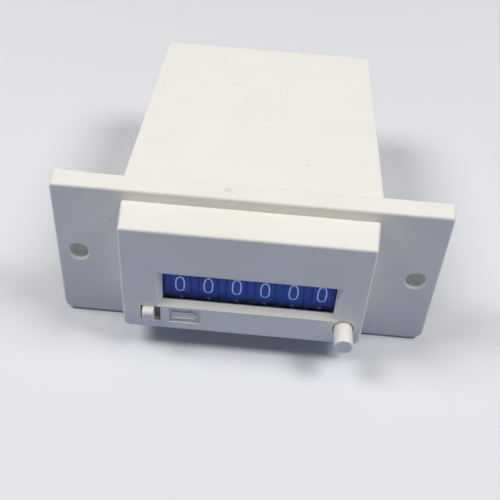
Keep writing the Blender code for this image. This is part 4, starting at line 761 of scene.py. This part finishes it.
class COUNTER_OT_ivory_shell(bpy.types.Operator):
    """Give the panel, the case and the controls their ivory plastic, with the marks of use, painted shade and
    painted edge highlights
    """

    bl_idname = "counter.ivory_shell"
    bl_label = "Ivory shell"

    def execute(self, context):
        finishes = context.scene.counter_finishes
        grime_and_shade = opaque(finishes.grime_and_shade)
        low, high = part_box("front_panel")
        seat = flange_seat()
        flange_front = seat - FLANGE_DEPTH
        case_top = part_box("case")[1].z

        def on_flange(x, z):
            return x * MM, flange_front, z * MM

        def on_flange_top(x, y):
            return x * MM, seat - y * MM, high.z

        def on_case(x, y):
            return x * MM, seat + y * MM, case_top

        panel_marks = [
            (spot(on_flange(-28.5, 27.8), 0.32 * MM), SCUFF_WHITE, 0.9),
            (spot(on_flange(-24.5, 23.2), 0.14 * MM), SPECK_BLACK, 0.8),
            (spot(on_flange_top(-4.2, 1.6), 0.9 * MM), grime_and_shade, 0.16),
            (line(on_flange_top(-4.9, 0.9), on_flange_top(-2.6, 2.7), 0.35 * MM), SCUFF_GREY, 0.4),
        ]
        scratch = [on_case(7.5, 49.4), on_case(5.4, 43.1), on_case(4.85, 37.6), on_case(4.5, 32.4)]
        case_marks = [(line(a, b, 0.24 * MM), SCUFF_GREY, 0.16) for a, b in zip(scratch, scratch[1:])]
        case_marks += [
            (line(on_case(1.0, 25.5), on_case(4.7, 25.4), 0.4 * MM), SCUFF_WHITE, 0.7),
            (spot(on_case(-6.4, 41.0), 0.9 * MM), grime_and_shade, 0.10),
            (spot(on_case(9.9, 12.0), 0.25 * MM), SCUFF_GREY, 0.6),
        ]
        self.add_panel(context.scene.counter_sizes, ivory_plastic("Ivory panel plastic", panel_marks))
        dress(ivory_plastic("Ivory case plastic", case_marks), "case")
        self.dress_controls(opaque(finishes.shade), opaque(finishes.slot_shade), low.y)
        return {"FINISHED"}

    def add_panel(self, sizes, finish):
        """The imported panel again, with tighter upper corners and ends that widen towards the back."""
        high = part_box("front_panel")[1]
        seat = flange_seat()
        inner_x, inner_z = high.x - sizes.packed_corner, high.z - sizes.packed_corner
        tighter = sizes.packed_corner - sizes.upper_corner
        near, end_depth = 0.01 * MM, 0.7 * MM
        mesh = packed_copy("front_panel")
        for corner in mesh.verts:
            place = corner.co
            side = math.copysign(1.0, place.x)
            across, up = abs(place.x) - inner_x, place.z - inner_z
            reach = math.hypot(across, up)
            if min(across, up) > -near and reach > tighter:
                place.x += side * tighter * (1 - across / reach)
                place.z += tighter * (1 - up / reach)
            if place.y > seat - near and abs(place.x) > inner_x + end_depth:
                place.x += side * sizes.end_draft * (abs(place.x) - inner_x) / sizes.packed_corner
        add_piece("moulded_panel", mesh, finish, "housing", ["front_panel"], smooth=False)

    def dress_controls(self, shade, slot_shade, face):
        """The button and the slide, with painted shade where they lie behind the face."""
        gap_depth, knob_depth = 0.35 * MM, 0.9 * MM
        low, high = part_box("reset_button")
        end = (low + high) / 2
        end.y = low.y
        nick = [end + Vector((0.36, 0.0, 0.14)) * MM, end + Vector((-0.35, 0.0, 0.22)) * MM]
        marks = [
            # Painted shade on the button behind the face; the two nick marks after it are the button's own.
            (behind(face + gap_depth), shade, 1.0),
            (spot(nick[0], 0.22 * MM), shade, 0.55),
            (line(nick[1], nick[0], 0.16 * MM), shade, 0.2),
        ]
        dress(ivory_plastic("Ivory button plastic", marks), "reset_button")
        # Painted shade on the slide's bar behind the knob.
        bar_marks = [(behind(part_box("lock_slider")[1].y - knob_depth), slot_shade, 1.0)]
        dress(ivory_plastic("Ivory slide plastic", bar_marks), "lock_slider")


class COUNTER_OT_window(bpy.types.Operator):
    """Make the window lens clear acrylic"""

    bl_idname = "counter.window"
    bl_label = "Window lens"

    def execute(self, context):
        dress(clear_pane("Clear acrylic pane"), "window_lens")
        return {"FINISHED"}


class COUNTER_OT_drums(bpy.types.Operator):
    """Colour the number wheels and the comb that fills the gaps between them"""

    bl_idname = "counter.drums"
    bl_label = "Number wheels"

    def execute(self, context):
        # Drum colour: dark plastic with a painted blue reflection.
        dark_drum_and_blue_reflection = context.scene.counter_finishes.dark_drum_and_blue_reflection
        finish = satin_plastic("Dark drum plastic with painted blue reflection", dark_drum_and_blue_reflection, 0.42, specular=0.2)
        dress(finish, *[f"number_wheel_{number}" for number in range(1, WHEEL_COUNT + 1)])
        self.add_comb(context.scene.counter_sizes, finish)
        return {"FINISHED"}

    def add_comb(self, sizes, finish):
        """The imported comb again. Its plates come up to the drums, and it reaches past the window's end."""
        packed_gap, near, room = 0.15 * MM, 0.05 * MM, 0.3 * MM
        mesh = packed_copy("window_comb")
        right_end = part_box("window_comb")[1].x
        above_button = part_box("reset_button")[1].z + room
        for number in range(1, WHEEL_COUNT + 1):
            middle = joint_place(f"wheel_{number}_turn").x
            for side in (-1, 1):
                rim = middle + side * sizes.drum_width / 2
                for corner in mesh.verts:
                    if 0 < side * (corner.co.x - rim) < packed_gap:
                        corner.co.x = rim + side * sizes.comb_seam
        for corner in mesh.verts:
            if corner.co.x > right_end - near and corner.co.z > above_button:
                corner.co.x += sizes.comb_reach
        add_piece("fitted_comb", mesh, finish, "housing", ["window_comb"])


class COUNTER_OT_digits(bpy.types.Operator):
    """Print the digits 0 to 9 round every number wheel"""

    bl_idname = "counter.digits"
    bl_label = "Printed digits"

    def execute(self, context):
        sizes = context.scene.counter_sizes
        # Print colour with a painted blue cast of light.
        finish = ink_coat("Digit ink", context.scene.counter_finishes.ink_and_blue_light)
        leans = (-1.2, -0.5, 0.9, -0.2, 0.8, 1.6)
        radius = drum_radius()
        outer, inner = radius + sizes.ink_rise, radius - sizes.ink_sink
        step = 2 * math.pi / DIGITS
        for number, lean in enumerate(leans, 1):
            axis = joint_place(f"wheel_{number}_turn")
            mesh = bmesh.new()
            for digit in range(DIGITS):
                middle = math.radians(lean) - step * digit

                def wrap(u, v, r, middle=middle, axis=axis):
                    turn = middle + v / radius
                    return axis + Vector((u, -r * math.cos(turn), r * math.sin(turn)))

                for stroke in digit_strokes(digit):
                    points = [(u * sizes.digit_width, v * sizes.digit_height) for u, v in stroke]
                    points = resampled(points, sizes.digit_stroke)
                    add_stroke(mesh, points, sizes.digit_stroke / 2, wrap, outer, inner)
            add_piece(f"digits_{number}", mesh, finish, f"number_wheel_{number}")
        return {"FINISHED"}


class COUNTER_OT_carry_train(bpy.types.Operator):
    """Give the pinions and the reset comb their natural acetal"""

    bl_idname = "counter.carry_train"
    bl_label = "Pinions and reset comb"

    def execute(self, context):
        finish = satin_plastic("Natural acetal", context.scene.counter_finishes.acetal, 0.34, 0.05)
        pinions = [f"transfer_pinion_{number}" for number in range(1, WHEEL_COUNT)]
        dress(finish, "reset_rocker", *pinions)
        return {"FINISHED"}


class COUNTER_OT_frame_metal(bpy.types.Operator):
    """Give the frame, the lever and the magnet's iron their zinc plating"""

    bl_idname = "counter.frame_metal"
    bl_label = "Zinc-plated frame"

    def execute(self, context):
        zinc = context.scene.counter_finishes.zinc
        sheet = bright_metal("Rolled zinc sheet", zinc, 0.26, (1.0, 0.04, 1.0))
        turned = bright_metal("Turned zinc bar", zinc, 0.22, (1.0, 1.0, 0.05))
        dress(sheet, "frame_plate_left", "frame_plate_right", "reset_lever", "yoke")
        dress(sheet, "armature", "pallet_lever")
        dress(turned, "frame_tie_front", "frame_tie_rear", "coil_core")
        return {"FINISHED"}


class COUNTER_OT_shafts(bpy.types.Operator):
    """Give the shafts, the clips and the pin their ground steel"""

    bl_idname = "counter.shafts"
    bl_label = "Shafts and clips"

    def execute(self, context):
        steel = context.scene.counter_finishes.steel
        ground = bright_metal("Ground steel", steel, 0.14, (1.0, 0.06, 0.06), 0.06)
        dress(ground, "wheel_shaft", "pinion_shaft", "rocker_shaft", "armature_pin")
        dress(ground, "shaft_clip_left", "shaft_clip_right")
        return {"FINISHED"}


class COUNTER_OT_springs(bpy.types.Operator):
    """Wind the reset spring and the armature spring from round wire"""

    bl_idname = "counter.springs"
    bl_label = "Coil springs"

    def execute(self, context):
        steel = context.scene.counter_finishes.steel
        finish = bright_metal("Spring wire", steel, 0.16, (1.0, 1.0, 1.0), 0.10)
        wire = context.scene.counter_sizes.spring_wire
        low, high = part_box("reset_spring")
        radius = (high.x - low.x - wire) / 2
        middle = (low + high) / 2
        start = Vector((middle.x, low.y + wire / 2, middle.z))
        end = Vector((middle.x, high.y - wire / 2, middle.z))
        mesh = bmesh.new()
        add_tube(mesh, coil_points(start, end, radius, 8.5), wire / 2)
        made = add_piece("reset_coil_spring", mesh, finish, "housing", ["reset_spring"])
        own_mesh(made)
        low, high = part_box("armature_spring")
        radius = (high.x - low.x - wire) / 2
        reach = radius + wire / 2
        middle = (low + high) / 2
        start = Vector((middle.x, low.y + wire / 2, high.z - reach))
        end = Vector((middle.x, high.y - wire / 2, low.z + reach))
        mesh = bmesh.new()
        add_tube(mesh, coil_points(start, end, radius, 5), wire / 2)
        made = add_piece("armature_coil_spring", mesh, finish, None, ["armature_spring"])
        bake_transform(made)
        return {"FINISHED"}


class COUNTER_OT_magnet_coil(bpy.types.Operator):
    """Wind the coil turn by turn on its nylon bobbin"""

    bl_idname = "counter.magnet_coil"
    bl_label = "Coil and bobbin"

    def execute(self, context):
        finishes = context.scene.counter_finishes
        dress(satin_plastic("Black nylon", finishes.nylon, 0.42, 0.2), "coil_bobbin", "terminal_block")
        wire = context.scene.counter_sizes.winding_wire
        low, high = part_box("coil_winding")
        middle = (low + high) / 2
        radius = (high.z - low.z) / 2
        turns = int((high.y - low.y) / wire)
        pitch = (high.y - low.y) / turns
        inner = radius * 0.56
        profile = [(low.y, inner)]
        for turn in range(turns):
            start = low.y + pitch * turn
            for share, dip in ((0.0, 0.5), (0.2, 0.18), (0.5, 0.0), (0.8, 0.18)):
                profile.append((start + pitch * share, radius - wire * dip))
        profile += [(high.y, radius - wire / 2), (high.y, inner)]
        mesh = bmesh.new()
        skin_rings(mesh, [hoop(middle, r, along, 64) for along, r in profile], closed=True)
        finish = bright_metal("Enamelled copper", finishes.copper, 0.24, (1.0, 1.0, 1.0), 0.15)
        add_piece("wound_coil", mesh, finish, "housing", ["coil_winding"])
        dress(finish, "coil_lead_left", "coil_lead_right")
        return {"FINISHED"}


class COUNTER_OT_terminals(bpy.types.Operator):
    """Tin the two terminal blades"""

    bl_idname = "counter.terminals"
    bl_label = "Terminal blades"

    def execute(self, context):
        tin = context.scene.counter_finishes.tin
        finish = bright_metal("Tinned brass", tin, 0.24, (1.0, 0.05, 1.0), 0.18)
        dress(finish, "terminal_left", "terminal_right")
        return {"FINISHED"}


class COUNTER_OT_moulding_marks(bpy.types.Operator):
    """Add the flange's mould flash, the button's gate mark and the line round the arrow"""

    bl_idname = "counter.moulding_marks"
    bl_label = "Moulding marks"

    def execute(self, context):
        sizes = context.scene.counter_sizes
        finish = ivory_plastic("Ivory flash plastic")
        self.add_flash(sizes, finish)
        self.add_gate_mark(sizes, finish)
        self.add_arrow_rim(sizes, finish)
        return {"FINISHED"}

    def add_flash(self, sizes, finish):
        """A thin uneven ridge along the flange's upper left edge."""
        low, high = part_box("front_panel")
        back = flange_seat()
        start, foot = low.x + 0.1 * MM, high.z - 0.12 * MM
        steps = 28
        rings = []
        for k in range(steps + 1):
            share = k / steps
            x = start + sizes.flash_length * share
            swell = math.sin(math.pi * min(1.0, share * 7) / 2) * (1 - max(0.0, share - 0.8) ** 2 * 25)
            ripple = 0.85 + 0.15 * math.sin(17 * share) * math.cos(5 * share)
            top = high.z + sizes.flash_height * swell * ripple
            thick = sizes.flash_thickness * (0.6 + 0.4 * swell)
            ring = [
                (x, back - 0.02 * MM, foot),
                (x, back - 0.02 * MM, top - 0.03 * MM),
                (x, back - 0.05 * MM, top),
                (x, back - thick * 0.7, top - 0.04 * MM),
                (x, back - thick - 0.15 * MM, foot),
            ]
            rings.append(ring)
        mesh = bmesh.new()
        skin_rings(mesh, rings)
        add_piece("flange_flash", mesh, finish, "housing")

    def add_gate_mark(self, sizes, finish):
        """A low ring on the button's end, where the plastic ran in."""
        low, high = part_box("reset_button")
        middle = (low + high) / 2
        profile = ((0.03, 0.5), (-0.018, 0.7), (-0.022, 0.85), (0.0, 1.0), (0.03, 1.0))
        rings = [hoop(middle, sizes.gate_radius * r, low.y + depth * MM, 28) for depth, r in profile]
        mesh = bmesh.new()
        skin_rings(mesh, rings, closed=True)
        add_piece("button_gate_mark", mesh, finish, "reset_button")

    def add_arrow_rim(self, sizes, finish):
        """A fine raised line just inside the outline of the plaque's arrow."""
        centre = Vector((-10.4 * MM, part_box("front_panel")[0].y + 0.22 * MM, 8.17 * MM))
        inset = sizes.arrow_rim / 2
        tail, neck, tip = -2.3 * MM + inset, 1.1 * MM + inset, 2.3 * MM - inset * 1.5
        thin, half = 0.75 * MM - inset, 1.05 * MM - inset
        lower = [(tail, -thin), (neck, -thin), (neck, -half)]
        points = lower + [(tip, 0.0), (neck, half), (neck, thin), (tail, thin)]

        def wrap(u, v, depth):
            return centre + Vector((u, depth, v))

        mesh = bmesh.new()
        add_stroke(mesh, points + points[:1], inset, wrap, -0.10 * MM, 0.05 * MM)
        add_piece("arrow_rim", mesh, finish, "housing")


def soft_lamp(name, power, size, place, target):
    """A square area lamp at a place, turned to a target."""
    data = bpy.data.lights.new(name, "AREA")
    data.energy = power
    data.size = size
    lamp = bpy.data.objects.new(name, data)
    bpy.context.scene.collection.objects.link(lamp)
    lamp.location = place
    lamp.rotation_euler = (target - Vector(place)).to_track_quat("-Z", "Y").to_euler()


class COUNTER_OT_stage(bpy.types.Operator):
    """Set the pale floor, the lamps, the surroundings and the camera"""

    bl_idname = "counter.stage"
    bl_label = "Stage"

    def execute(self, context):
        stage = context.scene.counter_stage
        self.add_floor(stage)
        middle = (CAD_BOX[0] + CAD_BOX[1]) / 2
        x, y, z = SIDE_LAMP_PLACE
        soft_lamp("left_lamp", stage.side_power, stage.side_size, (-x, y, z), middle)
        soft_lamp("right_lamp", stage.side_power, stage.side_size, (x, y, z), middle)
        soft_lamp("fill_lamp", stage.fill_power, stage.fill_size, FILL_LAMP_PLACE, middle)
        self.add_sky(context, stage)
        self.add_camera(context, stage)
        context.scene.view_settings.view_transform = "Standard"
        return {"FINISHED"}

    def add_floor(self, stage):
        """The floor, on which the flange's lower edge and the case's lower back edge rest."""
        panel_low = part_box("front_panel")[0]
        case_low, case_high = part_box("case")
        front = Vector((0.0, case_low.y, panel_low.z))
        back = Vector((0.0, case_high.y, case_low.z))
        along, across = (back - front).normalized(), Vector((1.0, 0.0, 0.0))
        half, below = stage.floor_size / 2, 0.05 * MM
        middle = front - Vector((0.0, 0.0, below))
        sides = ((-half, -half), (half, -half), (half, half), (-half, half))
        mesh = bmesh.new()
        mesh.faces.new([mesh.verts.new(middle + across * u + along * v) for u, v in sides])
        floor = mesh_object("floor", mesh, floor_paint("Pale floor", stage.floor, stage.bounce))
        if floor.data.polygons[0].normal.z < 0:
            floor.data.flip_normals()

    def add_sky(self, context, stage):
        """Surroundings that look white and light the object softly."""
        world = bpy.data.worlds.new("surroundings")
        context.scene.world = world
        world.use_nodes = True
        wires = Wiring(world.node_tree)
        seen_strength = 0.92
        strength = wires.math("MULTIPLY_ADD", wires.background(), seen_strength - stage.sky, stage.sky)
        wires.fill(world.node_tree.nodes["Background"], {"Color": COOL_WHITE, "Strength": strength})

    def add_camera(self, context, stage):
        """The camera at the photograph's viewing angle."""
        data = bpy.data.cameras.new("camera")
        data.lens = stage.lens
        data.sensor_width = 36
        data.clip_start = 0.005
        camera = bpy.data.objects.new("camera", data)
        context.scene.collection.objects.link(camera)
        place = Matrix.Translation(CAMERA_PLACE)
        turn = Matrix.Rotation(stage.azimuth, 4, "Z")
        tip = Matrix.Rotation(math.pi / 2 - stage.elevation, 4, "X")
        lean = Matrix.Rotation(stage.roll, 4, "Z")
        camera.matrix_world = place @ turn @ tip @ lean
        context.scene.camera = camera


class COUNTER_PT_looks(bpy.types.Panel):
    """The steps and settings of the counter's looks"""

    bl_idname = "COUNTER_PT_looks"
    bl_label = "Panel counter"
    bl_space_type = "VIEW_3D"
    bl_region_type = "UI"
    bl_category = "Counter"

    def draw(self, context):
        for step in STEPS:
            self.layout.operator(step.bl_idname)
        for group in ("counter_sizes", "counter_finishes", "counter_stage"):
            settings = getattr(context.scene, group)
            box = self.layout.box()
            for name in type(settings).__annotations__:
                box.prop(settings, name)


STEPS = (
    COUNTER_OT_ivory_shell,
    COUNTER_OT_window,
    COUNTER_OT_drums,
    COUNTER_OT_digits,
    COUNTER_OT_carry_train,
    COUNTER_OT_frame_metal,
    COUNTER_OT_shafts,
    COUNTER_OT_springs,
    COUNTER_OT_magnet_coil,
    COUNTER_OT_terminals,
    COUNTER_OT_moulding_marks,
    COUNTER_OT_stage,
)
SETTINGS = {
    "counter_sizes": CounterSizes,
    "counter_finishes": CounterFinishes,
    "counter_stage": CounterStage,
}


def register():
    for group in SETTINGS.values():
        bpy.utils.register_class(group)
    for name, group in SETTINGS.items():
        setattr(bpy.types.Scene, name, bpy.props.PointerProperty(type=group))
    for step in STEPS:
        bpy.utils.register_class(step)
    bpy.utils.register_class(COUNTER_PT_looks)


def unregister():
    bpy.utils.unregister_class(COUNTER_PT_looks)
    for step in reversed(STEPS):
        bpy.utils.unregister_class(step)
    for name, group in SETTINGS.items():
        delattr(bpy.types.Scene, name)
        bpy.utils.unregister_class(group)


def main():
    register()
    for step in STEPS:
        name = step.bl_idname.split(".")[1]
        getattr(bpy.ops.counter, name)()


if __name__ == "__main__":
    main()
